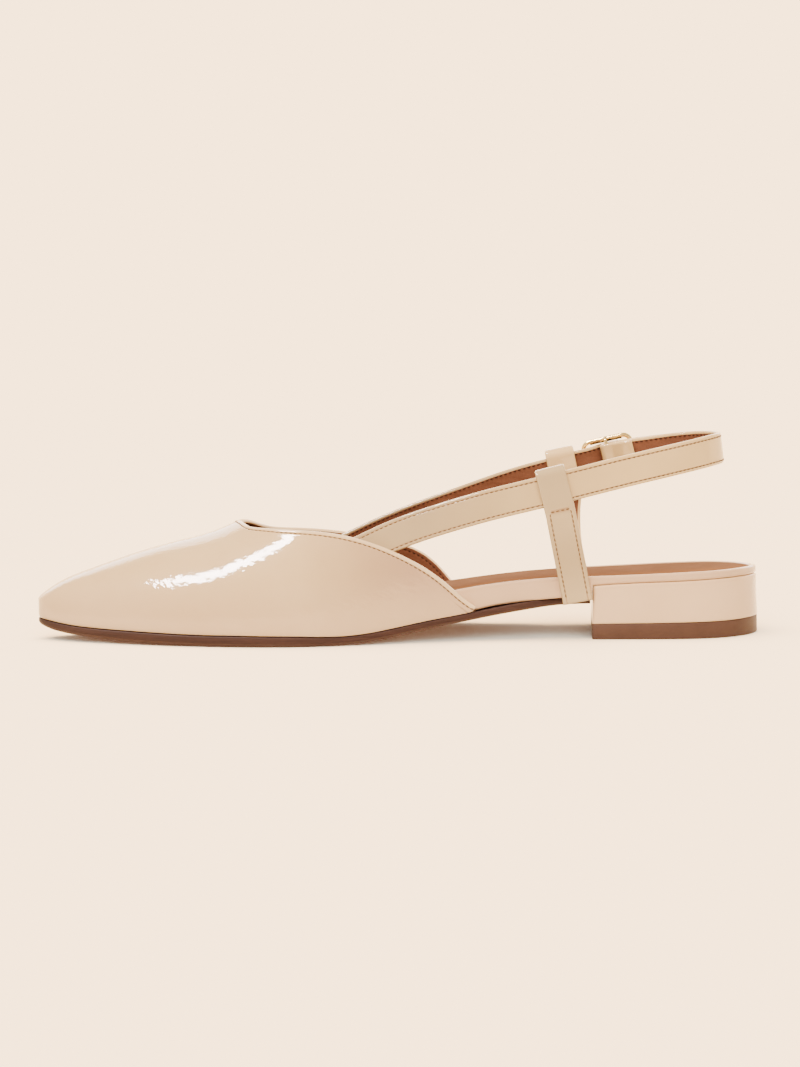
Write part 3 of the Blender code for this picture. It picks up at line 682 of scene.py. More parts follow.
def metal(name, low, high, roughness):
    values = {"Metallic": 1.0, "Roughness": roughness}
    material, tree, shader, place = new_material(name, values)
    paint(tree, place, shader, noise(tree, place, 400, 3, 0.6), low, high)
    scratch = noise(tree, place, 2600, 3, 0.6, (1, 1, 6))
    tree.links.new(bump(tree, scratch, 0.15, 0.00002), shader.inputs["Normal"])
    return material


def thread(name, low, high):
    values = {"Roughness": 0.8, "Specular IOR Level": 0.03}
    material, tree, shader, place = new_material(name, values)
    paint(tree, place, shader, noise(tree, place, 3000, 2, 0.5), low, high)
    return material


# The vamp's cream darkens to a pinker tone towards the rear (painted shade) and turns pinker near
# the sole (painted reflected light).
CREAM = patent("cream_patent_vamp_painted_shade_and_tint", (0.61, 0.395, 0.18), (0.66, 0.44, 0.215), 0.5, (
    ((0.43, 0.25, 0.14), (0.475, 0.28, 0.16), "X", -0.033, 0.008),
    ((0.61, 0.385, 0.21), (0.655, 0.425, 0.235), "Z", 0.026, 0.004),
))
# The lip's cream is lighter than the vamp's: a painted highlight on the folded top edge.
LIP_CREAM = patent("cream_patent_lip_painted_highlight", (0.70, 0.47, 0.25), (0.76, 0.53, 0.29), 0.2)
# Darker cream for faces in the seam grooves: painted shade.
SEAM_SHADE = matte_leather("cream_painted_seam_shade", (0.36, 0.21, 0.10), (0.43, 0.265, 0.13), 0.6, 0.2)
# The straps' cream is darker towards the front and lighter towards the heel: painted shade.
STRAP_CREAM = patent("cream_patent_strap_painted_shade", (0.41, 0.28, 0.14), (0.455, 0.315, 0.16), 0.25, (
    ((0.66, 0.43, 0.18), (0.72, 0.48, 0.21), "X", 0.012, 0.09),
))
# The uprights' cream is darker on the medial upright and lighter on the lateral one: painted light
# and shade.
UPRIGHT_CREAM = patent("cream_patent_upright_painted_light", (0.455, 0.315, 0.156), (0.50, 0.345, 0.173), 0.25, (
    ((0.69, 0.455, 0.205), (0.74, 0.49, 0.225), "Y", -0.01, 0.02),
))
# The heel's cream is lighter than the vamp's: painted bounce light from the floor.
HEEL_CREAM = patent("cream_patent_heel_painted_light", (0.68, 0.43, 0.235), (0.73, 0.475, 0.265), 0.2)
BAND_CREAM = patent("cream_patent_band", (0.57, 0.345, 0.195), (0.62, 0.385, 0.22), 0.25)
LINING = matte_leather(
    "tan_lining", (0.115, 0.043, 0.022), (0.18, 0.07, 0.038), 0.6, 0.7, (0.6, 0.6, 2.0), 0.08,
)
# The sock turns a darker, pinker tan towards the lateral side: a painted grazing reflection.
SOCK_TAN = matte_leather(
    "tan_sock_painted_reflection", (0.235, 0.101, 0.043), (0.275, 0.123, 0.054), 0.6, 0.3, gloss=0,
    painted_light_drifts=(((0.20, 0.098, 0.055), (0.235, 0.118, 0.068), "Y", -0.012, 0.008),),
)
# Dark brown on the sock's edge faces: painted shade where the sock meets the rim.
SOCK_GAP_SHADE = matte_leather(
    "painted_shade_sock_edge", (0.05, 0.02, 0.01), (0.08, 0.034, 0.018), 0.7, 0.3, gloss=0.03,
)
SOLE_EDGE = matte_leather(
    "brown_sole_edge", (0.032, 0.015, 0.0115), (0.058, 0.027, 0.020),
    0.5, 0.5, (0.3, 0.3, 7.0), 0.1,
)
# The rounded lower edge is lighter than the edge above: partly its own paler brown, partly painted
# light that the rounding catches.
SOLE_BEVEL = matte_leather(
    "brown_sole_bevel_partly_painted_light", (0.065, 0.031, 0.021), (0.08, 0.039, 0.027), 0.5, 0.1, gloss=0.1,
)
TREAD = matte_leather("brown_tread", (0.10, 0.05, 0.03), (0.14, 0.07, 0.045), 0.6, 0.6)
TIP_BROWN = matte_leather(
    "brown_top_piece", (0.068, 0.033, 0.0215), (0.082, 0.040, 0.027), 0.5, 0.25,
)
THREAD = thread("tan_thread", (0.13, 0.072, 0.036), (0.21, 0.122, 0.066))
LINING_THREAD = thread("brown_thread", (0.03, 0.012, 0.007), (0.055, 0.022, 0.012))
GOLD = metal("pale_gold", (0.70, 0.52, 0.22), (0.80, 0.62, 0.29), 0.16)
# Near-black gold for a thin wire under the frame's top bar: painted shade.
GOLD_PAINTED_SHADE = metal("shaded_gold", (0.025, 0.016, 0.007), (0.04, 0.027, 0.012), 0.45)


# Stitches

def add_stitches(name, lines, material):
    """Short rounded stitches along lines of (place, outward direction)."""
    mesh = bmesh.new()
    around = 6
    for line in lines:
        places = [Vector(place) for place, out in line]
        outs = [Vector(out) for place, out in line]
        run = run_along(places)
        count = int(run[-1] / STITCH_PITCH)
        spare = (run[-1] - count * STITCH_PITCH) / 2
        for index in range(count):
            middle = spare + (index + 0.5) * STITCH_PITCH
            rows = []
            for step in range(5):
                at = middle + STITCH_LENGTH * (step / 4 - 0.5)
                where, share = find_on_run(run, at)
                place = places[where - 1].lerp(places[where], share)
                out = outs[where - 1].lerp(outs[where], share).normalized()
                along = (places[where] - places[where - 1]).normalized()
                beside = along.cross(out).normalized()
                rise = math.sin(math.pi * (step + 0.35) / 4.7)
                thick = STITCH_RADIUS * (0.55 + 0.45 * rise)
                middle_point = place + out * (STITCH_RADIUS * 1.3 * rise - STITCH_RADIUS * 0.9)
                row = []
                for corner in range(around):
                    turn = 2 * math.pi * corner / around
                    spread = beside * math.cos(turn) + out * math.sin(turn)
                    row.append(mesh.verts.new(middle_point + spread * thick))
                rows.append(row)
            for row, after in zip(rows, rows[1:]):
                list(bridge(mesh, after, row))
            mesh.faces.new(rows[0])
            mesh.faces.new(rows[-1][::-1])
    return add_piece(name, mesh, [material], ())


# Vamp

def surface(s, side, angle):
    return vamp_point(min(max(s, 0), CONE[-1][0]), side, min(max(angle, 0), 90))


def surface_frame(s, side, angle):
    """Tangents of the last along s and angle, and its outward direction."""
    s_low, s_high = max(s - 0.2, 0.01), s + 0.2
    a_low, a_high = max(angle - 0.4, 0), min(angle + 0.4, 90)
    by_s = (surface(s_high, side, angle) - surface(s_low, side, angle)) / (s_high - s_low)
    by_angle = (surface(s, side, a_high) - surface(s, side, a_low)) / (a_high - a_low)
    out = by_s.cross(by_angle) * side
    if out.length < 1e-9:
        out = Vector((-1, 0, 0.4))
    return by_s, by_angle, -out.normalized()


def puff(distance):
    """Height of the folded edge over the last, by distance from the top line."""
    fold = 0.10 * math.exp(-((distance - 1.0) / 0.45) ** 2)
    groove = -0.24 * math.exp(-((distance - SEAM_FROM_TOP_LINE) / 0.22) ** 2)
    shoulder = 0.05 * math.exp(-((distance - 2.4) / 0.4) ** 2)
    return fold + groove + shoulder


def top_line_at(q, side):
    """Place on the top line: q is 0 at the throat and 1 at the rear end."""
    name = "medial" if side < 0 else "lateral"
    way = q * q
    return THROAT_S + way * (REAR_S[side] - THROAT_S), top_line[name](way)


def foot_line(side):
    """Places down the toe tip and back along the sole, with the run to each."""
    rows = [(0.0, 90 * (1 - index / 8)) for index in range(8)]
    rows += [(REAR_S[side] * (index / 120) ** 1.5, 0.0) for index in range(121)]
    return rows, run_along([surface(s, side, angle) for s, angle in rows])


def make_vamp():
    """The upper: columns fan out from the top line to the sole's edge."""
    count = 190
    rows_down = 44
    band_rows = [LIP, 0.9, 1.1, 1.3, 1.45, 1.6, SEAM_FROM_TOP_LINE, 1.9, 2.05, 2.25, 2.5, 2.9, 3.5]
    edge_rows = 5
    groove_rows = (7, 8)
    lip_steps = 8
    mesh = bmesh.new()
    outer_seams = []
    inner_seams = []
    grids = {}
    for side in (-1, 1):
        line, run = foot_line(side)
        seam = []
        lining_seam = []
        grid = []
        for index in range(count + 1):
            q = index / count
            s, angle = top_line_at(q, side)
            s_on, angle_on = top_line_at(min(q + 0.002, 1), side)
            s_back, angle_back = top_line_at(max(q - 0.002, 0), side)
            by_s, by_angle, out = surface_frame(s, side, angle)
            along = by_s * (s_on - s_back) + by_angle * (angle_on - angle_back)
            if index == 0:
                along = Vector((0, side, 0))
            down = (out.cross(along.normalized()) * side).normalized()
            if (down.x if index <= 3 else down.z) > 0:
                down = -down
            basis = [[one.dot(other) for other in (by_s, by_angle)] for one in (by_s, by_angle)]
            step_s, step_angle = np.linalg.solve(basis, [down.dot(by_s), down.dot(by_angle)])
            if index == 0:
                step_s, step_angle = -1 / max(by_s.length, 0.01), 0.0
            reach = angle / -step_angle if step_angle < -1e-6 else 1000
            squeeze = min(1, 0.96 * reach / band_rows[-1])
            places = []
            for distance in band_rows:
                distance *= squeeze
                lower = max(0, angle + step_angle * distance)
                places.append((s + step_s * distance, lower, distance))
            s_end, angle_end, distance_end = places[-1]
            where, share = find_on_run(run, q * run[-1])
            before, beyond = np.array(line[where - 1]), np.array(line[where])
            foot_s, foot_angle = before * (1 - share) + beyond * share
            for step in range(1, rows_down + 1):
                left = (1 - step / rows_down) ** 1.35
                places.append((
                    foot_s + (s_end - foot_s) * left,
                    foot_angle + (angle_end - foot_angle) * left,
                    distance_end + 40 * (1 - left),
                ))
            outer = []
            inner = []
            for place_s, place_angle, distance in places:
                point = surface(place_s, side, place_angle)
                normal = surface_frame(max(place_s, 0.3), side, min(place_angle, 89.0))[2]
                tuck = -0.35 * math.exp(-place_angle / 2.2) if distance > 3.6 else 0
                outer.append(point + normal * (puff(distance) + tuck))
                inner.append(point - normal * (VAMP_WALL + puff(distance) * 0.5))
                if distance == SEAM_FROM_TOP_LINE * squeeze:
                    seam.append((outer[-1] + normal * 0.1, normal))
                    lining_seam.append((inner[-1], -normal))
            first_s, first_angle = places[0][:2]
            normal = surface_frame(first_s, side, min(first_angle, 89.0))[2]
            centre = surface(first_s, side, first_angle) - normal * VAMP_WALL / 2
            lip = []
            for step in range(1, lip_steps):
                turn = math.pi * step / lip_steps
                across = normal * (VAMP_WALL / 2 * math.cos(turn))
                lip.append(centre + across - down * (LIP * squeeze * math.sin(turn)))
            grid.append(outer[::-1] + lip + inner)
        grids[side] = [[mesh.verts.new(point) for point in column] for column in grid]
        outer_seams.append(seam)
        inner_seams.append(lining_seam)
    whole = outer_seams[0][::-1] + outer_seams[1][1:]
    whole_lining = inner_seams[0][::-1] + inner_seams[1][1:]
    outer_rows = len(band_rows) + rows_down
    for side, grid in grids.items():
        for column, after in zip(grid, grid[1:]):
            for index in range(len(column)):
                beside = (index + 1) % len(column)
                corners = (column[index], after[index], after[beside], column[beside])
                face = mesh.faces.new(corners if side < 0 else corners[::-1])
                past_edge = index - outer_rows
                if past_edge >= lip_steps - 2:
                    face.material_index = 1
                # The rows just below the top line and the fold take the lighter lip cream: painted
                # highlight.
                elif past_edge >= -edge_rows:
                    face.material_index = 2
                # Faces in the seam's groove take the painted seam shade.
                elif -past_edge in groove_rows:
                    face.material_index = 3
    bmesh.ops.remove_doubles(mesh, verts=mesh.verts, dist=0.004)
    bmesh.ops.recalc_face_normals(mesh, faces=mesh.faces)
    add_piece("vamp_leather", mesh, [CREAM, LINING, LIP_CREAM, SEAM_SHADE], ("vamp",))
    add_stitches("vamp_seam", [whole], THREAD)
    add_stitches("vamp_lining_seam", [whole_lining], LINING_THREAD)


# Bottom

def make_outsole():
    rows = (
        (3.2, 0), (1.5, 0.0), (1.0, 0.05), (0.35, 0.22), (0.1, 0.34),
        (0, 0.42), (0, 0.9), (0.12, 0.97), (0.4, 1),
    )
    levels = [(
        lambda s, depth=depth: inset["outsole"](s) + depth * min(1, 0.35 + s / 20),
        lambda s, y, share=share: tread_z(s, y) + share * bottom["edge"](s),
    ) for depth, share in rows]
    # Slot 1, the rounded lower edge, takes the lighter bevel brown, partly painted light.
    mesh = slab(stations(0, OUTSOLE_END, 150), levels, [2, 2, 1, 1, 1, 0, 0, 0, 0, 0], 0, 2)
    add_piece("outsole_leather", mesh, [SOLE_EDGE, SOLE_BEVEL, TREAD], ("outsole",))


def heel_levels(rows):
    """Rings of the heel: depth inside the outline, height, share of its lean."""
    levels = []
    for depth, height, lean in rows:
        front = HEEL_FRONT - HEEL_LEAN * (1 - lean)
        near = [front + HEEL_CORNER * share for share in (0, 0.04, 0.12, 0.25, 0.45, 0.7, 1)]

        def inside(s, depth=depth, front=front):
            cut = max(0, 1 - (s - front) / HEEL_CORNER)
            return depth + HEEL_CORNER * (1 - math.sqrt(1 - cut * cut))

        levels.append((near + stations(front + 3, LENGTH, 60), inside, height))
    return levels


def top_piece_z(s):
    share = (s - HEEL_FRONT) / (LENGTH - HEEL_FRONT)
    return TOP_PIECE_FRONT + (TOP_PIECE_BACK - TOP_PIECE_FRONT) * share


def make_heel():
    def base(lift):
        return lambda s, y: top_piece_z(s) + 0.08 + lift

    def top(drop):
        return lambda s, y: heel_top["height"](s) - sag(s, y) - drop

    rows = (
        (0.5, base(0), 0),
        (0.12, base(0.05), 0),
        (-0.1, base(0.3), 0),
        (-0.15, base(0.8), 0.05),
        (0.05, top(9), 0.45),
        (0.25, top(5), 0.8),
        (0.2, top(2), 0.95),
        (0.2, top(0.7), 1),
        (0.35, top(0.25), 1),
        (0.8, top(0), 1),
    )
    mesh = slab([], heel_levels(rows))
    add_piece("heel_cover", mesh, [HEEL_CREAM], ("heel",))
    rows = (
        (0.6, lambda s, y: 0.0, 0),
        (0.25, lambda s, y: 0.05, 0),
        (0.0, lambda s, y: 0.35, 0),
        (0.0, lambda s, y: top_piece_z(s) - 0.3, 0),
        (0.1, lambda s, y: top_piece_z(s) - 0.1, 0),
        (0.35, lambda s, y: top_piece_z(s), 0),
    )
    mesh = slab([], heel_levels(rows))
    add_piece("top_piece_rubber", mesh, [TIP_BROWN], ("top_piece",))


def footbed_under_z(s, y):
    if s > (OUTSOLE_END + HEEL_FRONT) / 2:
        return heel_top["height"](s) - sag(s, y) + 0.1
    gap = 0.1
    if y < 0:
        gap += SHANK_GAP * math.exp(-((s - SHANK_GAP_S) / SHANK_GAP_SPREAD) ** 2)
    return outsole_top_z(s, y) + gap


def make_footbed():
    places = sorted(stations(0, LENGTH, 150) + [207.2, 207.6])
    rows = (
        (0.9, 0, 0),
        (0.35, 0, 0.12),
        (0.05, 0, 0.5),
        (0, 0, 1.0),
        (0, 1, -1.4),
        (0.06, 1, -0.8),
        (0.3, 1, -0.3),
        (0.75, 1, -0.03),
        (1.2, 1, 0),
        (1.7, 1, -0.3),
        (2.1, 1, -0.9),
    )
    levels = [(
        lambda s, depth=depth: inset["footbed"](s) + depth,
        lambda s, y, top=top, lift=lift: (rim_z if top else footbed_under_z)(s, y) + lift,
    ) for depth, top, lift in rows]
    mesh = slab(places, levels, None, 1.2)
    add_piece("footbed_cover", mesh, [BAND_CREAM], ("footbed",))


def make_sock():
    rows = (
        (0.2, -0.75), (0, -0.45), (0, -0.03), (0.15, 0.13), (0.5, 0.21), (1.4, 0.15), (2.4, 0.21),
    )
    levels = [(
        lambda s, depth=depth: inset["sock"](s) + depth,
        lambda s, y, lift=lift: rim_z(s, y) + lift - 0.5 * min(1, max(0, (s - 185) / 20)),
    ) for depth, lift in rows]
    # Slot 1 gives the sock's edge faces the painted shade where the sock meets the rim.
    mesh = slab(stations(0, LENGTH, 130), levels, [0, 1, 1, 1, 0, 0, 0, 0], 1.2)
    add_piece("sock_leather", mesh, [SOCK_TAN, SOCK_GAP_SHADE], ("sock",))


# Straps

STRAP_SEAMS = (STRAP_WIDTH / 2 - STRAP_SEAM_TOP, -STRAP_WIDTH / 2 + STRAP_SEAM_LOW)
UPRIGHT_SEAMS = (UPRIGHT_WIDTH / 2 - UPRIGHT_SEAM, -UPRIGHT_WIDTH / 2 + UPRIGHT_SEAM)


def strap_section(width, seams):
    """Ring round a strap: (across the thickness, along the width, slot)."""
    half = width / 2
    t = STRAP_THICK / 2
    edge = t * 0.85
    turns = [math.pi * index / 6 for index in range(1, 6)]
    flat = [-half + edge + (2 * half - 2 * edge) * index / 26 for index in range(27)]
    flat = sorted(flat + [seam + shift for seam in seams for shift in (-0.3, -0.15, 0, 0.15, 0.3)])
    ring = [(t + 0.06 * (1 - (w / half) ** 2) - 0.03, w, 0) for w in flat]
    ring += [(t * math.cos(turn), half - edge + edge * math.sin(turn), 0) for turn in turns]
    lined = half - edge
    for w in flat[::-1]:
        inside = abs(w) < lined - 0.25
        ring.append((-t + (0.12 if inside else 0), w, 1 if inside else 0))
    ring += [(-t * math.cos(turn), -half + edge - edge * math.sin(turn), 0) for turn in turns]
    return ring


def pressed(w, seams):
    """How far a strap's face is pressed in at w by the seams, 0 to 1."""
    return sum(math.exp(-((w - seam) / SEAM_SPREAD) ** 2) for seam in seams)


def square_to(along, direction):
    """A direction turned square to another one."""
    return (direction - along * direction.dot(along)).normalized()


def heading_at(centre, index):
    return centre[min(index + 1, len(centre) - 1)] - centre[max(index - 1, 0)]


def sweep(centre, up, width, face, seams, press, lined=1.0, taper=lambda index: 1):
    """Sweep a strap along its centre line; up gives its width's direction.

    The strap's finished face lies to the left of its way (face 1) or right.
    The press function gives how far the face is pressed in at a station and
    a place across the width, and lined is the share that has a lining.
    """
    mesh = bmesh.new()
    rows = []
    count = len(centre)
    frames = []
    ring = strap_section(width, seams)
    dips = []
    for index, point in enumerate(centre):
        along = heading_at(centre, index).normalized()
        across = square_to(along, up[index])
        out = across.cross(along).normalized() * face
        frames.append((point, out, across))
        dip = [press(index, w) if t > STRAP_THICK / 2 - 0.05 else 0 for t, w, slot in ring]
        rows.append([
            mesh.verts.new(point + out * (t - SEAM_DEPTH * deep) + across * (w * taper(index)))
            for (t, w, slot), deep in zip(ring, dip)
        ])
        dips.append(dip)
    for place, (row, after) in enumerate(zip(rows, rows[1:])):
        for quad, index, beside in bridge(mesh, row, after):
            deep = sum(dip[index] + dip[beside] for dip in dips[place:place + 2])
            # Faces pressed deep into a seam's groove take the painted seam shade.
            if deep > GROOVE_DIP:
                quad.material_index = 2
            elif ring[index][2] and ring[beside][2] and place < lined * count:
                quad.material_index = 1
    mesh.faces.new(rows[0])
    mesh.faces.new(rows[-1][::-1])
    bmesh.ops.recalc_face_normals(mesh, faces=mesh.faces)
    return mesh, frames


def smooth_path(points, spacing):
    """Sample a smooth curve through the points."""
    run = run_along([Vector(point[:3]) for point in points])
    curves = [spline(run, [point[axis] for point in points]) for axis in range(len(points[0]))]
    count = round(run[-1] / spacing)
    return [[curve(run[-1] * step / count) for curve in curves] for step in range(count + 1)]


def buckle_axes():
    """Directions of the buckle: along the strap, outward, and up."""
    slope = math.radians(BUCKLE_SLOPE)
    yaw = math.radians(BUCKLE_YAW)
    lean = math.radians(BUCKLE_LEAN)
    along = Vector((
        math.cos(yaw) * math.cos(slope),
        math.sin(yaw) * math.cos(slope),
        math.sin(slope),
    ))
    out = Vector((-math.sin(yaw), math.cos(yaw), math.tan(lean)))
    out = square_to(along, out)
    return along, out, out.cross(along) * -1


def at_buckle(a, n, u=0.0):
    along, out, up = buckle_axes()
    return Vector(BUCKLE_CENTRE) + along * a + out * n + up * u


def leaning_up(point, heading, lean, outward):
    """The width direction of a strap whose lower edge stands out by lean."""
    side = Vector((heading.y, -heading.x, 0)).normalized()
    if side.dot(outward) < 0:
        side = -side
    free = Vector((0, 0, math.cos(math.radians(lean)))) - side * math.sin(math.radians(lean))
    along, out, held = buckle_axes()
    away = abs((point - Vector(BUCKLE_CENTRE)).dot(along))
    hold = min(1, max(0, (HOLD_REACH - away) / HOLD_RUN)) if point.y > HOLD_BEYOND_Y else 0
    return free.lerp(held, hold).normalized()


def path_to_buckle(places, through, outward):
    """Centre line of a strap and the part through the buckle, and its up."""
    joined = places + tuple((*at_buckle(a, n, -low), BUCKLE_LEAN) for a, n, low in through)
    path = smooth_path(joined, PATH_STEP)
    centre = [Vector(row[:3]) for row in path]
    up = [
        leaning_up(point, heading_at(centre, index), path[index][3], outward(point))
        for index, point in enumerate(centre)
    ]
    return centre, up


def sling_path():
    """Centre line of the heel strap, its fold round the buckle's bar, its end."""
    middle = Vector((55, -1, 60))
    centre, up = path_to_buckle(SLING, SLING_AT_BUCKLE, lambda point: point - middle)
    fold = len(centre)
    for index in range(25):
        turn = math.radians(60 + 210 * index / 24)
        a = WRAP_RADIUS * math.cos(turn)
        n = -BAR_RECESS + WRAP_RADIUS * math.sin(turn)
        centre.append(at_buckle(a, n, -STRAP_BELOW_CENTRE))
    back = [at_buckle(a, n, -low) for a, n, low in SLING_RETURN]
    centre += [Vector(row) for row in smooth_path(back, PATH_STEP)]
    up += [buckle_axes()[2]] * (len(centre) - fold)
    return centre, up


def sew_strap(name, frames):
    """Stitches near both edges of a strap, on its face and its lining."""
    sides = (("", 1, 0.14, THREAD), ("_lining", -1, 0.12, LINING_THREAD))
    for suffix, side, sunk, material in sides:
        lines = [[
            (point + out * side * (STRAP_THICK / 2 - sunk) + across * w, out * side)
            for point, out, across in frames
        ] for w in STRAP_SEAMS]
        add_stitches(f"{name}{suffix}_seam", lines, material)


def make_straps():
    layers = [STRAP_CREAM, LINING, SEAM_SHADE]
    sling = sling_path()
    bar = at_buckle(0, -BAR_RECESS, -STRAP_BELOW_CENTRE)
    near = WRAP_RADIUS + 0.1
    fold = next(index for index, point in enumerate(sling[0]) if (point - bar).length < near)

    def press(index, w):
        return pressed(w, STRAP_SEAMS) if index < fold else 0

    mesh, frames = sweep(*sling, STRAP_WIDTH, -1, STRAP_SEAMS, press)
    sling_piece = add_piece("heel_strap_leather", mesh, layers, ("heel_strap",))
    sew_strap("heel_strap", frames[2:fold])
    front = path_to_buckle(FRONT_STRAP, FRONT_AT_BUCKLE, lambda point: Vector((0, 1, 0)))
    total = len(front[0])

    def tip(index):
        left = min(1, (total - 1 - index) * PATH_STEP / TIP_LENGTH)
        return 0.3 + 0.7 * math.sqrt(1 - (1 - left) ** 2)

    mesh, frames = sweep(
        *front, STRAP_WIDTH, 1, STRAP_SEAMS, lambda index, w: pressed(w, STRAP_SEAMS), taper=tip,
    )
    front_piece = add_piece("front_strap_leather", mesh, layers, ("front_strap",))
    sew_strap("front_strap", frames[2:-9])
    cut_holes(sling_piece, front_piece)
    return sling, front


def cut_holes(sling, front):
    """Punch the front strap, and slot the heel strap's fold for the prong."""
    axes = buckle_axes()
    turned = Matrix((axes[0], axes[2], axes[1])).transposed().to_4x4()

    def punch(target, a, n, size, round_hole):
        mesh = bmesh.new()
        if round_hole:
            bmesh.ops.create_cone(
                mesh, cap_ends=True, segments=32, radius1=0.5, radius2=0.5, depth=1,
            )
        else:
            bmesh.ops.create_cube(mesh, size=1)
        bmesh.ops.scale(mesh, vec=size, verts=mesh.verts)
        bmesh.ops.transform(mesh, matrix=turned, verts=mesh.verts)
        bmesh.ops.translate(mesh, vec=at_buckle(a, n, -STRAP_BELOW_CENTRE), verts=mesh.verts)
        cutter = mesh_object("punch", mesh, (), MM, False)
        hole = target.modifiers.new("hole", "BOOLEAN")
        hole.operation = "DIFFERENCE"
        hole.solver = "EXACT"
        hole.object = cutter
        return cutter

    size = (2 * PUNCH_RADIUS, 2 * PUNCH_RADIUS, 9)
    cutters = [punch(front, a, -1, size, True) for a in PUNCH_AT]
    cutters.append(punch(front, -2.9, 0, (5.6, 2.6, 9), True))
    cutters.append(punch(sling, -0.4, 0.3 - BAR_RECESS, (6.6, 4.4, 2 * WRAP_RADIUS + 2.6), False))
    for target in (sling, front):
        data = evaluated_mesh(target)
        target.modifiers.clear()
        target.data = data
    for cutter in cutters:
        bpy.data.objects.remove(cutter)


def crossing_at(path, x):
    """Where a strap passes x on its way back: place, heading and width."""
    centre, up = path
    for index in range(1, len(centre) - 1):
        if centre[index].x <= x < centre[index + 1].x:
            share = (x - centre[index].x) / (centre[index + 1].x - centre[index].x)
            point = centre[index].lerp(centre[index + 1], share)
            heading = (centre[index + 1] - centre[index]).normalized()
            return point, heading, square_to(heading, up[index])
    raise ValueError("the strap does not pass there")


def make_upright(side, crossing):
    """A strip from the sole's edge up, over the strap, and down inside it."""
    point, heading, strap_up = crossing
    out = strap_up.cross(heading).normalized()
    if out.y * side < 0:
        out = -out
    heading = heading if heading.x > 0 else -heading
    tilt = math.radians(LOOP_TILT[side])
    heading, strap_up = (
        heading * math.cos(tilt) - strap_up * math.sin(tilt),
        strap_up * math.cos(tilt) + heading * math.sin(tilt),
    )
    half = STRAP_WIDTH / 2 + LOOP_SPARE[side]
    foot_s = FOOT_X + LENGTH / 2
    wall = half_width(foot_s, side) - inset["footbed"](foot_s)
    foot_y = AXIS_Y + side * (wall + GAP + STRAP_THICK / 2 + 0.1)
    foot = Vector((FOOT_X, foot_y, FOOT_Z))
    ply = PLY + 0.2

    def at(n, u):
        return point + out * n + strap_up * u

    below = at(ply, -half - 3)
    rows = [foot]
    for share in (0.12, 0.3, 0.5, 0.7, 0.88):
        middle = foot.lerp(below, share)
        straight = share - math.sin(2 * math.pi * share) / (2 * math.pi)
        middle.y = foot.y + (below.y - foot.y) * straight
        middle.x -= UPRIGHT_BOW[side] * math.sin(math.pi * share)
        rows.append(middle)
    rows += [below, at(ply, 0), at(ply, half - 0.9)]
    for index in range(1, 8):
        turn = math.pi * index / 8
        rows.append(at(ply * math.cos(turn), half - 0.4 + ply * math.sin(turn)))
    rows += [at(-ply, half - 0.9), at(-ply, 0), at(-ply, 0.4 - half)]
    rows += [at(-0.8, -half - 1.8), at(0, -half - 4.0)]
    spread = (half_width(foot_s + 5, side) - half_width(foot_s - 5, side)) / 10
    level = Vector((1, side * spread, math.tan(math.radians(FOOT_SLOPE)))).normalized()
    full = []
    for index, row in enumerate(rows):
        share = min(1, index / 6)
        full.append((*row, *level.lerp(heading, share).normalized()))
    path = smooth_path(full, 0.7)
    centre = [Vector(row[:3]) for row in path]
    across = [Vector(row[3:]).normalized() for row in path]
    name = "upright_medial" if side < 0 else "upright_lateral"
    face = 1 if across[0].cross(centre[1] - centre[0]).y * side > 0 else -1
    end = next(index for index, row in enumerate(centre) if (row - below).dot(strap_up) > 0.4)
    margin = UPRIGHT_SEAMS[0]

    def press(index, w):
        if index > end:
            return 0
        over = 1 if index == end and abs(w) < margin - 0.5 else 0
        return max(over, pressed(w, UPRIGHT_SEAMS) if index < end - 1 else 0)

    mesh, frames = sweep(centre, across, UPRIGHT_WIDTH, face, UPRIGHT_SEAMS, press, lined=0.6)
    add_piece(name + "_leather", mesh, [UPRIGHT_CREAM, LINING, SEAM_SHADE], (name,))

    def seam_point(frame_row, w):
        place, normal, width = frame_row
        return place + normal * (STRAP_THICK / 2 - 0.12) + width * w, normal

    line = [seam_point(row, -margin) for row in frames[2:end - 1]]
    shares = (-0.93, -0.8, -0.4, 0, 0.4, 0.8, 0.93)
    line += [seam_point(frames[end], margin * share) for share in shares]
    line += [seam_point(row, margin) for row in frames[end - 2:1:-1]]
    add_stitches(name + "_seam", [line], THREAD)


# Buckle

def wire(name, points, radius, cyclic, nodes=(), taper=None, material=GOLD):
    """A round wire through points in millimetres."""
    data = bpy.data.curves.new(name, "CURVE")
    data.dimensions = "3D"
    data.bevel_depth = radius * MM
    data.bevel_resolution = 5
    data.use_fill_caps = True
    line = data.splines.new("POLY")
    line.points.add(len(points) - 1)
    for index, (target, point) in enumerate(zip(line.points, points)):
        target.co = (*(point * MM), 1)
        target.radius = taper[index] if taper else 1
    line.use_cyclic_u = cyclic
    curve = add_object(name, data)
    mesh = evaluated_mesh(curve)
    bpy.data.objects.remove(curve)
    shaped = bmesh.new()
    shaped.from_mesh(mesh)
    bmesh.ops.remove_doubles(shaped, verts=shaped.verts, dist=0.00001)
    bmesh.ops.recalc_face_normals(shaped, faces=shaped.faces)
    bmesh.ops.scale(shaped, vec=(1 / MM, 1 / MM, 1 / MM), verts=shaped.verts)
    return add_piece(name, shaped, [material], nodes)


